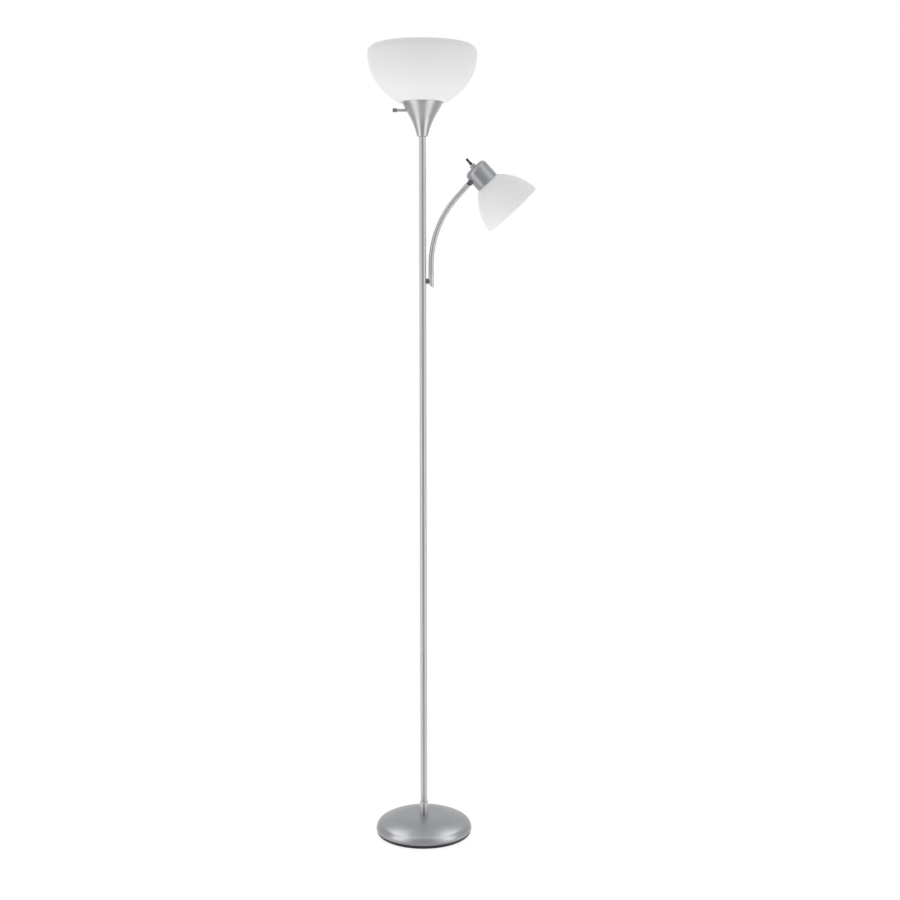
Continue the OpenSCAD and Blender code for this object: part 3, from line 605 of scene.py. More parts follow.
def white_shade(name, tone):
    """Milky plastic that light soaks into: faint flow lines around its axis, soft gloss and a very fine
    pebble."""
    f = Finish(
        name, True, Subsurface_Weight=0.35, Subsurface_Radius=(0.012, 0.0115, 0.011), Subsurface_Scale=1.0,
        Specular_IOR_Level=0.4, Coat_Weight=0.06, Coat_Roughness=0.35
    )
    flow = f.effect("grain", Stretch=(14.0, 14.0, 240.0)).outputs[0]
    mould = f.effect("mould", Fineness=2600.0)
    handling = f.effect("handling", Size=11.0)
    base = f.blend(flow, shaded(tone, 0.992), shaded(tone, 1.006))
    cloud = f.blend(f.between(mould.outputs[1], 0.0, 0.5), base, shaded(tone, 0.975))
    f.dusty(handling, 0.05, cloud, (0.7, 0.68, 0.64, 1.0))
    f.roughness(f.between(handling.outputs[0], 0.42, 0.52))
    f.bump(mould.outputs[0], 0.00002, 0.4)
    return f.material


def wound_strip(name, tone):
    """The arm's satin strip: a painted sheen where it turns away, and painted shade in the groove between its
    turns.
    """
    f = Finish(name, True, Metallic=1.0)
    grain = f.effect("grain", Stretch=(900.0, 900.0, 260.0)).outputs[0]
    handling = f.effect("handling", Size=20.0)
    base = f.blend(grain, shaded(tone, 0.9), shaded(tone, 1.1))
    # painted sheen: the colour runs towards white where the strip turns away from the viewer
    bright = f.blend(f.turning_away(0.5, 0.5), base, WHITE)
    # painted shade: the colour darkens to 0.45 of the tone by the groove's depth, held in the edge attribute
    f.colour(f.blend(f.attribute("edge"), bright, shaded(tone, 0.45)))
    f.roughness(f.between(handling.outputs[0], 0.26, 0.36))
    f.bump(grain, 0.00001, 0.4)
    return f.material


def felt(name):
    """Pressed felt: short fibres in every direction, matt and slightly fuzzy."""
    f = Finish(name, False, Sheen_Weight=0.4, Sheen_Roughness=0.5)
    fibres = f.effect("grain", Stretch=(2600.0, 900.0, 1500.0)).outputs[0]
    mould = f.effect("mould", Fineness=700.0)
    f.colour(f.blend(fibres, (0.008, 0.008, 0.008, 1.0), (0.035, 0.035, 0.036, 1.0)))
    f.roughness(f.between(mould.outputs[0], 0.85, 1.0))
    f.bump(fibres, 0.0002, 0.8)
    return f.material


def frosted_glass(name, tone):
    """A bulb's inside-frosted glass, with a faint unevenness in its coating."""
    f = Finish(name, True, Transmission_Weight=0.25, IOR=1.5, Coat_Weight=0.4, Coat_Roughness=0.08)
    mould = f.effect("mould", Fineness=600.0)
    f.colour(f.blend(mould.outputs[1], shaded(tone, 0.97), shaded(tone, 1.02)))
    f.roughness(f.between(mould.outputs[0], 0.3, 0.4))
    f.bump(mould.outputs[0], 0.00001, 0.3)
    return f.material


def finishes():
    """Each material slot's finish. A slot's .node finish is for its frame nodes, where new pieces have
    another, and its .reading finish is a lighter copy for the reading light's own shade, painted light."""
    if "made" in bpy.context.scene:
        return {key: bpy.data.materials[value] for key, value in bpy.context.scene["made"].items()}
    c = bpy.context.scene.lamp_colours
    # how many times finer than a metre the grain is along X, Y and Z
    upright, rings = (1500.0, 1500.0, 9.0), (40.0, 40.0, 5200.0)
    cut, wide_cut, drawn = (400.0, 400.0, 3000.0), (300.0, 300.0, 2600.0), (500.0, 500.0, 2400.0)
    # painted light: the reading shade's plastic is a copy 7 per cent lighter, up to 0.96, standing in for the
    # light it catches
    reading_painted_lighter = [min(0.96, part * 1.07) for part in c.shade]
    node = {"own_place": False}
    made = {
        "silver_paint": metallic_paint("Silver paint", c.paint, 0.30),
        "housing_paint": metallic_paint("Housing paint", c.housing, 0.25, 3600.0, sparkle=0.10, metal=0.85),
        "satin_pole": satin_metal("Satin pole", c.pole, upright, 0.27, lines=0.06, painted_sheen=0.5),
        "satin_trumpet": satin_metal("Satin trumpet", c.trumpet, rings, 0.19, lines=0.06),
        "switch_stem_metal": satin_metal("Switch stem", c.trumpet, rings, 0.26),
        "gooseneck_metal": wound_strip("Wound arm", c.arm),
        "gooseneck_metal.node": satin_metal("Arm barrel", c.arm, wide_cut, 0.3, painted_sheen=0.5, **node),
        "dark_fitting": metallic_paint("Dark fitting", c.fitting, 0.34, 3600.0, **node),
        "shade_plastic": white_shade("Shade plastic", c.shade),
        "shade_plastic.reading": white_shade("Reading shade plastic", reading_painted_lighter),
        "ring_plastic": moulded("Ring plastic", c.shade, 0.45, **node),
        "black_plastic": moulded("Black plastic", c.black, 0.42, **node),
        "knob_grey": moulded("Knob plastic", c.knob, 0.4, 2200.0),
        "knob_black": moulded("Key plastic", c.black, 0.36, 2200.0),
        "felt": felt("Felt"),
        "bushing_rubber": moulded("Rubber", (0.02, 0.02, 0.02), 0.7, 900.0, **node),
        "cast_weight": moulded(
            "Cast iron", (0.05, 0.05, 0.052), 0.7, 500.0, relief=0.0003, Metallic=0.6, **node
        ),
        "plated_steel": satin_metal("Plated steel", (0.6, 0.6, 0.58), cut, 0.25, **node),
        "brass_fitting": satin_metal("Brass", (0.72, 0.5, 0.22), cut, 0.28, **node),
        "wire_insulation": moulded("Wire insulation", (0.8, 0.8, 0.78), 0.35, **node),
        "bulb_glass": frosted_glass("Frosted glass", c.glass),
        "bulb_cap_metal": satin_metal("Bulb cap", (0.66, 0.66, 0.67), drawn, 0.3, **node),
    }
    bpy.context.scene["made"] = {key: value.name for key, value in made.items()}
    return made


# ---- pieces ----


class LAMP_OT_stage(Operator):
    """Sets up the pale floor, the soft studio light and the camera"""

    bl_idname = "lamp.stage"
    bl_label = "Stage"

    def execute(self, context):
        s = context.scene.lamp_stage
        turn = Matrix.Rotation(-s.camera_turn, 4, "Z")
        gloss = bpy.data.collections.new(GLOSSY_PIECES)
        self.floor(s)
        self.surroundings(context.scene, s)
        for name, side in (("strip_left", -1), ("strip_right", 1)):
            away = Matrix.Rotation(side * s.strip_angle, 4, "Z") @ turn @ Vector(STRIP_PLACE)
            strip = self.panel(name, away, (0.0, 0.0, STRIP_PLACE[2]), STRIP_SIZE, s.strip_power)
            above = Matrix.Rotation(side * s.side_angle, 4, "Z") @ turn @ Vector(RAISED_PLACE)
            raised = self.panel(name + "_raised", above, (0.0, 0.0, 0.0), RAISED_SIZE, s.side_power)
            for lamp in (strip, raised):
                lamp.visible_diffuse = False
                lamp.light_linking.receiver_collection = gloss
        self.panel("overhead", turn @ Vector((0.0, -0.6, 3.4)), (0.0, 0.0, 0.9), (2.4, 1.6), s.top_power)
        data = bpy.data.cameras.new("camera")
        data.lens, data.sensor_width = s.lens, 36.0
        camera = bpy.data.objects.new("camera", data)
        camera.location = turn @ Vector(s.camera_place)
        camera.rotation_euler = (math.pi / 2 - s.camera_down, 0.0, -s.camera_turn)
        context.scene.collection.objects.link(camera)
        context.scene.camera = camera
        context.scene.view_settings.view_transform = "Standard"
        return {"FINISHED"}

    def mirrored(self, w, way, turn, contrast):
        """How bright the studio looks in shiny metal, by the angle about the lamp from the camera: a soft
        grey there, a bright wall on each side of it, greyer walls beyond and a pale one behind, raised to
        the power contrast."""
        level = w.add("ShaderNodeVectorRotate", {"rotation_type": "Z_AXIS"}, Vector=way, Angle=turn)
        part = w.add("ShaderNodeSeparateXYZ", Vector=level.outputs[0])
        side = w.maths("ABSOLUTE", part.outputs[0])
        about = w.maths("ARCTAN2", side, w.maths("MULTIPLY", part.outputs[1], -1.0))
        ramp = w.add("ShaderNodeValToRGB", Fac=w.maths("DIVIDE", about, math.pi))
        ramp.color_ramp.interpolation = "EASE"
        stops = ramp.color_ramp.elements
        for place, bright in STUDIO_WALL[1:-1]:
            stops.new(place)
        # a ramp's colours stop at 1, so it holds half the brightness
        for stop, (place, bright) in zip(stops, STUDIO_WALL):
            stop.color = (bright / 2, bright / 2, bright / 2, 1.0)
        return w.maths("POWER", w.maths("MULTIPLY", ramp.outputs[0], 2.0), contrast)

    def floor(self, s):
        """A square floor whose matt middle fades into an even white further out."""
        half = s.floor_half
        mesh = bpy.data.meshes.new("floor")
        corners = [(-half, -half, 0), (half, -half, 0), (half, half, 0), (-half, half, 0)]
        mesh.from_pydata(corners, [], [(0, 1, 2, 3)])
        piece = bpy.data.objects.new("floor", mesh)
        bpy.context.scene.collection.objects.link(piece)
        material = bpy.data.materials.new("Pale floor")
        material.use_nodes = True
        material.node_tree.nodes.clear()
        w = Wiring(material.node_tree)
        place = w.add("ShaderNodeTexCoord").outputs["Object"]
        away = w.add("ShaderNodeVectorMath", {"operation": "LENGTH"}, _0=place).outputs["Value"]
        tone = w.add("ShaderNodeMix", {"data_type": "RGBA"}, _0=w.noise(place, 60.0, 4.0),
                     _6=(0.38, 0.38, 0.38, 1.0), _7=(0.42, 0.42, 0.42, 1.0))
        matt = w.add("ShaderNodeBsdfPrincipled", Base_Color=tone.outputs[2], Roughness=0.9,
                     Emission_Color=WHITE, Emission_Strength=0.75)
        ray = w.add("ShaderNodeLightPath")
        plain = w.spread(ray.outputs["Is Camera Ray"], 0.0, 1.0, s.floor_light, 1.0)
        white = w.add("ShaderNodeEmission", Color=WHITE, Strength=plain)
        mirrored = self.mirrored(w, place, s.camera_turn, w.spread(away, 0.9, 2.4, 1.0, 2.8))
        grey = w.add("ShaderNodeEmission", Color=WHITE, Strength=mirrored)
        seen = w.add("ShaderNodeMixShader", Fac=w.spread(away, 0.15, 0.9, smooth=True),
                     _1=matt.outputs[0], _2=white.outputs[0])
        mixed = w.add("ShaderNodeMixShader", Fac=ray.outputs["Is Glossy Ray"],
                      _1=seen.outputs[0], _2=grey.outputs[0])
        w.join(w.add("ShaderNodeOutputMaterial"), "Surface", mixed.outputs[0])
        mesh.materials.append(material)

    def surroundings(self, scene, s):
        """An even studio: white behind the lamp, softer grey before it, plain white where it shows."""
        world = bpy.data.worlds.new("studio")
        world.use_nodes = True
        world.node_tree.nodes.clear()
        w = Wiring(world.node_tree)
        place = w.add("ShaderNodeTexCoord").outputs["Generated"]
        way = w.add("ShaderNodeSeparateXYZ", Vector=place)
        soft = w.spread(way.outputs[1], -0.8, 0.6, s.sky, s.back_sky, smooth=True)
        ray = w.add("ShaderNodeLightPath")
        tone = w.add("ShaderNodeMix", _0=ray.outputs["Is Glossy Ray"], _2=soft,
                     _3=self.mirrored(w, place, s.camera_turn, 1.6))
        around = w.add("ShaderNodeBackground", Color=WHITE, Strength=tone.outputs[0])
        plain = w.add("ShaderNodeBackground", Color=WHITE, Strength=1.0)
        mixed = w.add("ShaderNodeMixShader", Fac=ray.outputs["Is Camera Ray"],
                      _1=around.outputs[0], _2=plain.outputs[0])
        w.join(w.add("ShaderNodeOutputWorld"), "Surface", mixed.outputs[0])
        scene.world = world

    def panel(self, name, place, target, size, power):
        """A rectangular soft light at place that faces target."""
        data = bpy.data.lights.new(name, "AREA")
        data.shape, data.size, data.size_y, data.energy = "RECTANGLE", *size, power
        lamp = bpy.data.objects.new(name, data)
        lamp.location = place
        lamp.rotation_euler = (Vector(target) - Vector(place)).to_track_quat("-Z", "Y").to_euler()
        bpy.context.scene.collection.objects.link(lamp)
        return lamp


class LAMP_OT_base(Operator):
    """Turns the painted base cover and bores its cord inlet"""

    bl_idname = "lamp.base"
    bl_label = "Base"

    def execute(self, context):
        s, made = context.scene.lamp_sizes, finishes()
        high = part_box("base_cover")[1]
        radius, top, ring = high.x, high.z, s.base_ring
        shoulder = radius - s.base_shoulder
        rise, run = top - ring, shoulder - s.base_flat
        # the crown arc touches the flat and the shoulder arc
        crown = (run**2 + rise**2 - s.base_shoulder**2) / (2 * (rise - s.base_shoulder))
        join = math.atan2(crown - rise, run)
        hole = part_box("base_nipple")[1].x + SLIP
        outer = np.concatenate([
            arc(radius - s.base_curl, ring, s.base_curl, math.radians(-70), 0, 10),
            arc(shoulder, ring, s.base_shoulder, 0.02, join, 36),
            arc(s.base_flat, top - crown, crown, join + 0.01, math.pi / 2, 28),
            [[s.base_flat * 0.5, top], [hole, top], [hole, top - s.base_sheet]],
            arc(s.base_flat, top - crown, crown - s.base_sheet, math.pi / 2, join, 16),
            arc(shoulder, ring, s.base_shoulder - s.base_sheet, join - 0.03, 0, 20),
            [[radius - s.base_sheet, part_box("base_pan")[1].z + SLIP]],
        ])
        grid = turned(outer, s.around, closed=True)
        cover = surface("base_cover_shell", *grid, made["silver_paint"], closed=True)
        bushing_low, bushing_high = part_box("cord_bushing")
        middle = (bushing_low + bushing_high) / 2
        bore = (bushing_high.x - bushing_low.x) / 2 + SLIP
        drill(cover, (middle.x, bushing_low.y, middle.z), (0, 1, 0), bore, 0.02)
        finish_piece(cover, "stand", "silver_paint", "base_cover")
        bpy.data.collections[GLOSSY_PIECES].objects.link(cover)
        return {"FINISHED"}


class LAMP_OT_pole(Operator):
    """Turns the collar and the four tubes of the pole, with the fine seams where they meet"""

    bl_idname = "lamp.pole"
    bl_label = "Pole"

    def execute(self, context):
        s, made = context.scene.lamp_sizes, finishes()
        low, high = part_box("base_collar")
        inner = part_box("pole_section_1")[1].x + SLIP
        line = loop([[inner, low.z], [high.x, low.z], [high.x, high.z], [inner, high.z]], s.collar_edge)
        collar = surface("collar", *turned(line, 72, closed=True), made["satin_pole"], closed=True)
        finish_piece(collar, "stand", "satin_pole", "base_collar")
        for number in range(1, 5):
            node = f"pole_section_{number}"
            low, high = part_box(node)
            bore = high.x - s.tube_wall
            line = loop([[bore, low.z], [high.x, low.z], [high.x, high.z], [bore, high.z]], s.pole_seam)
            grid = turned(line, 72, closed=True)
            tube = surface(f"tube_{number}", *grid, made["satin_pole"], closed=True)
            finish_piece(tube, "stand", "satin_pole", node)
        return {"FINISHED"}


class LAMP_OT_trumpet(Operator):
    """Turns the trumpet that carries the bowl, and bores it for the switch's stem"""

    bl_idname = "lamp.trumpet"
    bl_label = "Trumpet"

    def execute(self, context):
        s, made = context.scene.lamp_sizes, finishes()
        low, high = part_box("trumpet")
        # a short turned-in foot, a web that the washer clamps, and the straight top of the cone
        foot, web_sheet, straight = low.z + 0.0015, 0.0025, 0.008
        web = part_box("trumpet_washer")[0].z
        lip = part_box("pole_section_4")[1].x + SLIP
        flare_r = s.trumpet_foot + s.trumpet_flare * math.cos(s.flare_start)
        flare_z = foot - s.trumpet_flare * math.sin(s.flare_start)
        thick = s.trumpet_flare + s.trumpet_sheet
        web_angle = math.asin((web - flare_z) / thick)
        top_inner = high.x - s.trumpet_sheet / math.cos(s.flare_end)
        narrower = straight * math.tan(s.flare_end)
        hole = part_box("top_nipple")[1].x + SLIP
        line = np.concatenate([
            soften([[lip, foot + 0.004], [lip, low.z], [lip + 0.0015, low.z],
                    [s.trumpet_foot, foot]], 0.0004),
            arc(flare_r, flare_z, s.trumpet_flare, math.pi - s.flare_start, math.pi - s.flare_end, 40)[1:],
            soften([[high.x - narrower, high.z - straight], [high.x, high.z],
                    [top_inner, high.z], [top_inner - narrower, high.z - straight]], 0.0004),
            arc(flare_r, flare_z, thick, math.pi - s.flare_end, math.pi - web_angle, 24),
            [[hole, web], [hole, web - web_sheet], [lip, web - web_sheet]],
        ])
        grid = turned(line, 120, closed=True)
        trumpet = surface("trumpet_flare", *grid, made["satin_trumpet"], closed=True)
        stem = JOINTS["torchiere_switch_turn"]
        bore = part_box("torchiere_switch_stem")[1].y + 2 * AIR
        drill(trumpet, (0.0, 0.0, stem["pos_m"][2]), stem["axis"], bore, 0.08)
        finish_piece(trumpet, "stand", "satin_trumpet", "trumpet")
        return {"FINISHED"}


class LAMP_OT_bowl(Operator):
    """Turns the open bowl of milky plastic that faces the ceiling"""

    bl_idname = "lamp.bowl"
    bl_label = "Bowl shade"

    def execute(self, context):
        s, made = context.scene.lamp_sizes, finishes()
        low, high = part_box("bowl_shade")
        wall, floor = s.shade_wall, low.z
        widest_z = high.z - s.bowl_rim
        side_r, rim_r = high.x - s.bowl_side, high.x - s.bowl_rim
        shift = s.bowl_lower - s.bowl_side
        lower_r = side_r - shift * math.cos(s.bowl_join)
        lower_z = widest_z + shift * math.sin(s.bowl_join)
        end = math.asin((lower_z - floor - wall) / s.bowl_lower)
        inner_end = math.asin((lower_z - floor - 2 * wall) / (s.bowl_lower - wall))
        corner = lower_r + s.bowl_lower * math.cos(end) - 2 * wall
        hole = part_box("bowl_shade_hole" if "bowl_shade_hole" in NODES else "torchiere_screw_shell")[1].x
        hole = max(hole, s.bowl_hole) + AIR
        line = np.concatenate([
            soften([[hole, floor + wall], [hole, floor], [corner, floor],
                    [lower_r + s.bowl_lower * math.cos(end), floor + wall]], 0.004, 6)[:-1],
            arc(lower_r, lower_z, s.bowl_lower, -end, -s.bowl_join, 20),
            arc(side_r, widest_z, s.bowl_side, -s.bowl_join, 0, 40)[1:],
            arc(rim_r, widest_z, s.bowl_rim, 0, math.pi / 2 - 0.06, 22)[1:],
            arc(rim_r, high.z - wall / 2, wall / 2, math.pi / 2, 1.5 * math.pi, 9),
            arc(rim_r, widest_z, s.bowl_rim - wall, math.pi / 2 - 0.06, 0, 16),
            arc(side_r, widest_z, s.bowl_side - wall, 0, -s.bowl_join, 32)[1:],
            arc(lower_r, lower_z, s.bowl_lower - wall, -s.bowl_join, -inner_end, 16)[1:],
            [[corner - wall, floor + wall]],
        ])
        bowl = surface("bowl", *turned(line, s.around, closed=True), made["shade_plastic"], closed=True)
        finish_piece(bowl, "stand", "shade_plastic", "bowl_shade")
        return {"FINISHED"}


class LAMP_OT_bulbs(Operator):
    """Blows the two frosted bulbs"""

    bl_idname = "lamp.bulbs"
    bl_label = "Bulbs"

    def execute(self, context):
        s, made = context.scene.lamp_sizes, finishes()
        low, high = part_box("torchiere_bulb_glass")
        self.bulb("torchiere_bulb", s, (low.z, high.z, high.x), None, "stand", "torchiere_bulb_glass", made)
        self.bulb("reading_bulb", s, head_span("reading_bulb_glass"), head_place(), "reading_head",
                  "reading_bulb_glass", made)
        return {"FINISHED"}

    def bulb(self, name, s, span, place, body, node, made):
        """A globe that narrows to its cap along an S: the globe's circle down to 50 degrees below level,
        then a cubic Bezier curve that leaves along the circle and arrives upright at the throat."""
        low, high, radius = span
        start, pull = math.radians(-50), 0.35
        centre = high - radius
        outer = arc(0, centre, radius, start, math.pi / 2, 40)
        a, d = np.array([s.bulb_throat, low]), outer[0]
        b = a + [0, pull * (d[1] - low)]
        c = d - np.array([math.sin(-start), math.cos(start)]) * pull * (d[1] - low)
        t = np.linspace(0, 1, 16)[:-1, None]
        neck = a * (1 - t) ** 3 + 3 * b * t * (1 - t) ** 2 + 3 * c * t**2 * (1 - t) + d * t**3
        inside = arc(0, centre, radius - s.bulb_wall, math.pi / 2, start, 24)
        outer[-1, 0] = inside[0, 0] = 0
        line = np.concatenate([neck, outer, inside, [[s.bulb_throat - s.bulb_wall, low]]])
        piece = surface(name, *turned(line, 72, closed=True), made["bulb_glass"], place, closed=True)
        finish_piece(piece, body, "bulb_glass", node)


class LAMP_OT_torchiere_switch(Operator):
    """Turns the torchiere's rotary switch: a smooth stem and a fluted knob"""

    bl_idname = "lamp.torchiere_switch"
    bl_label = "Torchiere switch"

    def execute(self, context):
        s, made = context.scene.lamp_sizes, finishes()
        axle = JOINTS["torchiere_switch_turn"]
        place = facing(axle["axis"], (0, 0, 1), (0.0, 0.0, axle["pos_m"][2]))
        stem_low, stem_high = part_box("torchiere_switch_stem")
        knob_low, knob_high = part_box("torchiere_switch_knob")
        # heights along the stem, from the pole's axis outwards
        inside, socket, start, tip = -stem_high.x, 0.0195, -knob_high.x, -knob_low.x
        thick, thin, grip = stem_high.y, s.stem, knob_high.y
        line = soften([[0, inside], [thin, inside], [thin, socket], [thick, socket], [thick, start],
                       [thin, start], [thin, -stem_low.x], [0, -stem_low.x]], 0.0004)
        stem = surface("switch_stem", *turned(line, 40), made["switch_stem_metal"], place)
        finish_piece(stem, "torchiere_switch", "switch_stem_metal", "torchiere_switch_stem")
        side = np.stack([np.full(24, grip), np.linspace(start + 0.0012, tip - 0.0014, 24)], 1)
        line = np.concatenate([
            soften([[thin, start + 0.0001], [thin, start], [grip - 0.0006, start], side[0]], 0.0003),
            side[1:-1],
            soften([side[-1], [grip - 0.0011, tip], [0.0008, tip], [0, tip]], 0.0005),
            [[0, tip - 0.003], [thin, tip - 0.003]],
        ])

        def flutes(r, z, t):
            """Ten flutes round the grip, square of the cosine, that fade out over a millimetre at both
            ends."""
            fade = np.clip((z - start - 0.001) / 0.001, 0, 1) * np.clip((tip - 0.0018 - z) / 0.001, 0, 1)
            outside = np.clip((r - 0.8 * grip) / (0.2 * grip), 0, 1)
            return r - s.flute * fade * outside * np.maximum(0, np.cos(10 * t)) ** 2

        grid = turned(line, 120, closed=True, radius_of=flutes)
        knob = surface("switch_knob", *grid, made["knob_grey"], place, closed=True)
        finish_piece(knob, "torchiere_switch", "knob_grey", "torchiere_switch_knob")
        return {"FINISHED"}


class LAMP_OT_arm(Operator):
    """Winds the flexible arm, in lengths that run from the middle of one segment to the middle of the next"""

    bl_idname = "lamp.arm"
    bl_label = "Reading arm"

    def execute(self, context):
        s, made = context.scene.lamp_sizes, finishes()
        whole = s.arm_rise + s.arm_bend * s.arm_turn + s.arm_run
        # a length runs from the middle of one segment to the middle of the next
        cuts = [0.0, *[whole * (k + 0.5) / ARM_SEGMENTS for k in range(ARM_SEGMENTS)], whole]
        radius = (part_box("gooseneck_1")[1].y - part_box("gooseneck_1")[0].y) / 2
        for k in range(ARM_SEGMENTS + 1):
            piece = self.winding(f"arm_length_{k + 1}", s, cuts[k], cuts[k + 1], radius,
                                 made["gooseneck_metal"])
            if k > 0:
                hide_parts(f"gooseneck_{k}")
            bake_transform(piece)
        return {"FINISHED"}

    def line(self, s, along):
        """Points and outward directions of the arm's middle line: straight up, an arc towards +X, then
        straight."""
        along = np.atleast_1d(along)
        start = np.array(JOINTS["arm_bend_1"]["pos_m"])
        turn = np.clip((along - s.arm_rise) / s.arm_bend, 0, s.arm_turn)
        after = np.maximum(along - s.arm_rise - s.arm_bend * s.arm_turn, 0)
        x = s.arm_bend * (1 - np.cos(turn)) + after * np.sin(turn)
        z = np.minimum(along, s.arm_rise) + s.arm_bend * np.sin(turn) + after * np.cos(turn)
        points = start + np.stack([x, np.zeros_like(x), z], 1)
        outward = np.stack([np.cos(turn), np.zeros_like(x), -np.sin(turn)], 1)
        return points, outward

    def winding(self, name, s, first, last, radius, material):
        """Tube along the arm's line between two distances, closed by a plain inner wall that runs back. Its
        outer radius dips by the groove's depth once per pitch, along a helix: depth times the eighth power
        of the cosine of half (2 pi distance / pitch - angle)."""
        rows_per_turn, inner_rows, cols = 9, 16, 40
        outer = np.linspace(first, last, int(round((last - first) / s.coil_pitch * rows_per_turn)) + 1)
        inner = np.linspace(last, first, inner_rows)
        along = np.concatenate([outer, inner])
        t = np.arange(cols) * 2 * np.pi / cols
        middle, outward = self.line(s, along)
        dip = np.abs(np.cos(np.pi * along[:, None] / s.coil_pitch - t[None, :] / 2)) ** 8
        dip[len(outer):] = 1
        r = radius - s.coil_groove * dip
        r[len(outer):] = radius - s.arm_wall
        across, aside = r * np.cos(t), r * np.sin(t)
        sideways = np.array([0.0, 1.0, 0.0])
        grid = middle[:, None] + across[..., None] * outward[:, None] + aside[..., None] * sideways
        travelled = np.concatenate([outer, 2 * last + s.arm_wall - inner])
        piece = surface(name, grid, travelled, np.zeros(len(along)), material, closed=True)
        own = np.stack([across, aside, np.repeat(along[:, None], cols, axis=1)], axis=2)
        mesh = piece.data
        mesh.attributes["turned"].data.foreach_set("vector", own.astype(np.float32).ravel())
        # here the edge attribute holds the groove's depth, which the wound strip's material darkens as painted
        # shade
        mesh.attributes["edge"].data.foreach_set("value", dip.astype(np.float32).ravel())
        return piece


class LAMP_OT_reading_head(Operator):
    """Turns the reading light's painted housing"""

    bl_idname = "lamp.reading_head"
    bl_label = "Reading head"

    def execute(self, context):
        s, made = context.scene.lamp_sizes, finishes()
        low, high, radius = head_span("reading_housing")
        boss, sheet, edge = s.boss, s.housing_sheet, s.housing_edge
        # the boss ends in a lip round the switch's stem, and a fine groove runs round near the front
        lip, lip_sheet, groove = 0.0025, 0.0017, 0.0005
        back = low + boss
        line = np.concatenate([
            soften([[lip, low + lip_sheet], [lip, low], [boss, low], [boss, back], [boss + 0.004, back]],
                   0.0012, 5)[:-1],
            arc(radius - edge, back + edge, edge, -math.pi / 2, 0, 24),
            soften([[radius, back + edge + 0.004], [radius, high - 0.0026], [radius - groove, high - 0.0022],
                    [radius - groove, high - 0.0017], [radius, high - 0.0013], [radius, high],
                    [radius - sheet, high], [radius - sheet, high - 0.01]], 0.0003),
            arc(radius - edge, back + edge, edge - sheet, 0, -math.pi / 2, 16),
            [[s.boss_bore, back + sheet], [s.boss_bore, low + lip_sheet]],
        ])
        grid = turned(line, 112, closed=True)
        housing = surface("housing", *grid, made["housing_paint"], head_place(), closed=True)
        finish_piece(housing, "reading_head", "housing_paint", "reading_housing")
        return {"FINISHED"}


class LAMP_OT_reading_shade(Operator):
    """Turns the bell-shaped reading shade of milky plastic"""

    bl_idname = "lamp.reading_shade"
    bl_label = "Reading shade"

    def execute(self, context):
        s, made = context.scene.lamp_sizes, finishes()
        low, high = head_span("reading_shade")[:2]
        housing_high, housing = head_span("reading_housing")[1:]
        wall, hole = s.shade_wall, s.shade_hole
        start, start_r = housing_high + 0.0005, housing + 0.0008
        neck = housing - s.housing_sheet - AIR
        centre_z = start + s.bell_curve * math.sin(s.bell_start)
        centre_r = start_r - s.bell_curve * math.cos(s.bell_start)
        end = math.asin((centre_z - high) / s.bell_curve)
        inner = s.bell_curve - wall
        inner_start = math.asin((centre_z - start - wall) / inner)
        inner_end = math.asin((centre_z - high) / inner)
        line = np.concatenate([
            soften([[hole, low + wall], [hole, low], [neck, low], [neck, start - AIR],
                    [start_r, start]], 0.0005)[:-1],
            arc(centre_r, centre_z, s.bell_curve, -s.bell_start, -end - 0.006, 56),
            soften([arc(centre_r, centre_z, s.bell_curve, -end - 0.004, -end, 2)[0],
                    [centre_r + s.bell_curve * math.cos(end), high],
                    [centre_r + inner * math.cos(inner_end), high],
                    arc(centre_r, centre_z, inner, -inner_end - 0.01, -inner_end, 2)[0]], 0.0009, 5),
            arc(centre_r, centre_z, inner, -inner_end - 0.012, -inner_start, 40),
            [[neck - wall, start + wall / 2], [neck - wall, low + wall]],
        ])
        shade = surface("bell", *turned(line, s.around, closed=True), made["shade_plastic.reading"],
                        head_place(), closed=True)
        finish_piece(shade, "reading_head", "shade_plastic", "reading_shade")
        return {"FINISHED"}


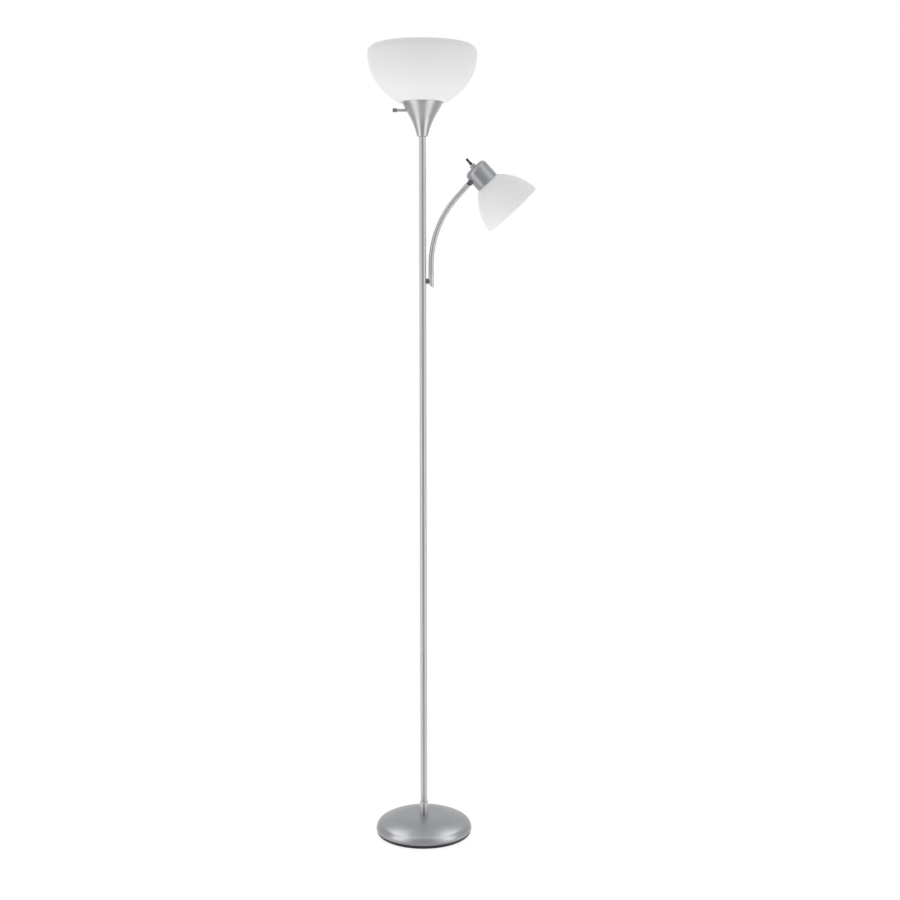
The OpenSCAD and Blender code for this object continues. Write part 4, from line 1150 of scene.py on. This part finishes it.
class LAMP_OT_reading_switch(Operator):
    """Turns the reading light's key, with two flats for the fingers"""

    bl_idname = "lamp.reading_switch"
    bl_label = "Reading switch"

    def execute(self, context):
        s, made = context.scene.lamp_sizes, finishes()
        low, high, radius = head_span("reading_switch_knob")
        thin, rows = s.stem, 26
        side = np.stack([np.linspace(radius - 0.0004, radius - 0.0003, rows),
                         np.linspace(high - 0.0034, low + 0.0015, rows)], 1)
        line = np.concatenate([
            [[thin, high]],
            soften([[thin, high], [radius, high], [radius, high - 0.002], side[0]], 0.0005)[1:-1],
            side,
            soften([side[-1], [radius - 0.0016, low], [0, low]], 0.0006)[1:],
            [[0, high - 0.0054], [thin, high - 0.0054]],
        ])[::-1]

        def flats(r, z, t):
            """Where the key's grip is, the radius stops at two planes that face the arm and away from it."""
            depth = radius - 0.0011
            grip = np.clip((high - 0.0045 - z) / 0.001, 0, 1)
            flat = depth / np.maximum(np.abs(np.cos(t)), 1e-3)
            return np.where(r > thin + 1e-6, r + grip * (np.minimum(r, flat) - r), r)

        grid = turned(line, 96, closed=True, radius_of=flats)
        key = surface("key", *grid, made["knob_black"], head_place(), closed=True)
        finish_piece(key, "reading_switch", "black_plastic", "reading_switch_knob")
        return {"FINISHED"}


class LAMP_OT_fittings(Operator):
    """Gives every frame node that stays its own finish"""

    bl_idname = "lamp.fittings"
    bl_label = "Fittings"

    def execute(self, context):
        made = finishes()
        for name, node in NODES.items():
            slot = SLOT_OF[name]
            node.data.materials.clear()
            node.data.materials.append(made.get(slot + ".node", made[slot]))
        return {"FINISHED"}


class LAMP_PT_pieces(Panel):
    """Lists the lamp's pieces in the sidebar"""

    bl_idname = "LAMP_PT_pieces"
    bl_label = "Torchiere floor lamp"
    bl_space_type = "VIEW_3D"
    bl_region_type = "UI"
    bl_category = "Lamp"

    def draw(self, context):
        """A button for each piece, then a box for each group of settings."""
        for operator in OPERATORS:
            self.layout.operator(operator.bl_idname)
        for settings in (context.scene.lamp_sizes, context.scene.lamp_colours, context.scene.lamp_stage):
            box = self.layout.box()
            for name in settings.__annotations__:
                box.prop(settings, name)


OPERATORS = (
    LAMP_OT_stage, LAMP_OT_fittings, LAMP_OT_base, LAMP_OT_pole, LAMP_OT_trumpet, LAMP_OT_bowl, LAMP_OT_bulbs,
    LAMP_OT_torchiere_switch, LAMP_OT_arm, LAMP_OT_reading_head, LAMP_OT_reading_shade, LAMP_OT_reading_switch
)
CLASSES = (LampSizes, LampColours, StageSettings, *OPERATORS, LAMP_PT_pieces)


def register():
    """Registers the classes and gives the scene its settings."""
    for cls in CLASSES:
        bpy.utils.register_class(cls)
    bpy.types.Scene.lamp_sizes = PointerProperty(type=LampSizes)
    bpy.types.Scene.lamp_colours = PointerProperty(type=LampColours)
    bpy.types.Scene.lamp_stage = PointerProperty(type=StageSettings)


def unregister():
    """Takes the settings and the classes away again."""
    for name in ("lamp_sizes", "lamp_colours", "lamp_stage"):
        delattr(bpy.types.Scene, name)
    for cls in reversed(CLASSES):
        bpy.utils.unregister_class(cls)


def main():
    """Builds the stage and every piece."""
    register()
    for operator in OPERATORS:
        family, name = operator.bl_idname.split(".")
        getattr(getattr(bpy.ops, family), name)()


if __name__ == "__main__":
    main()
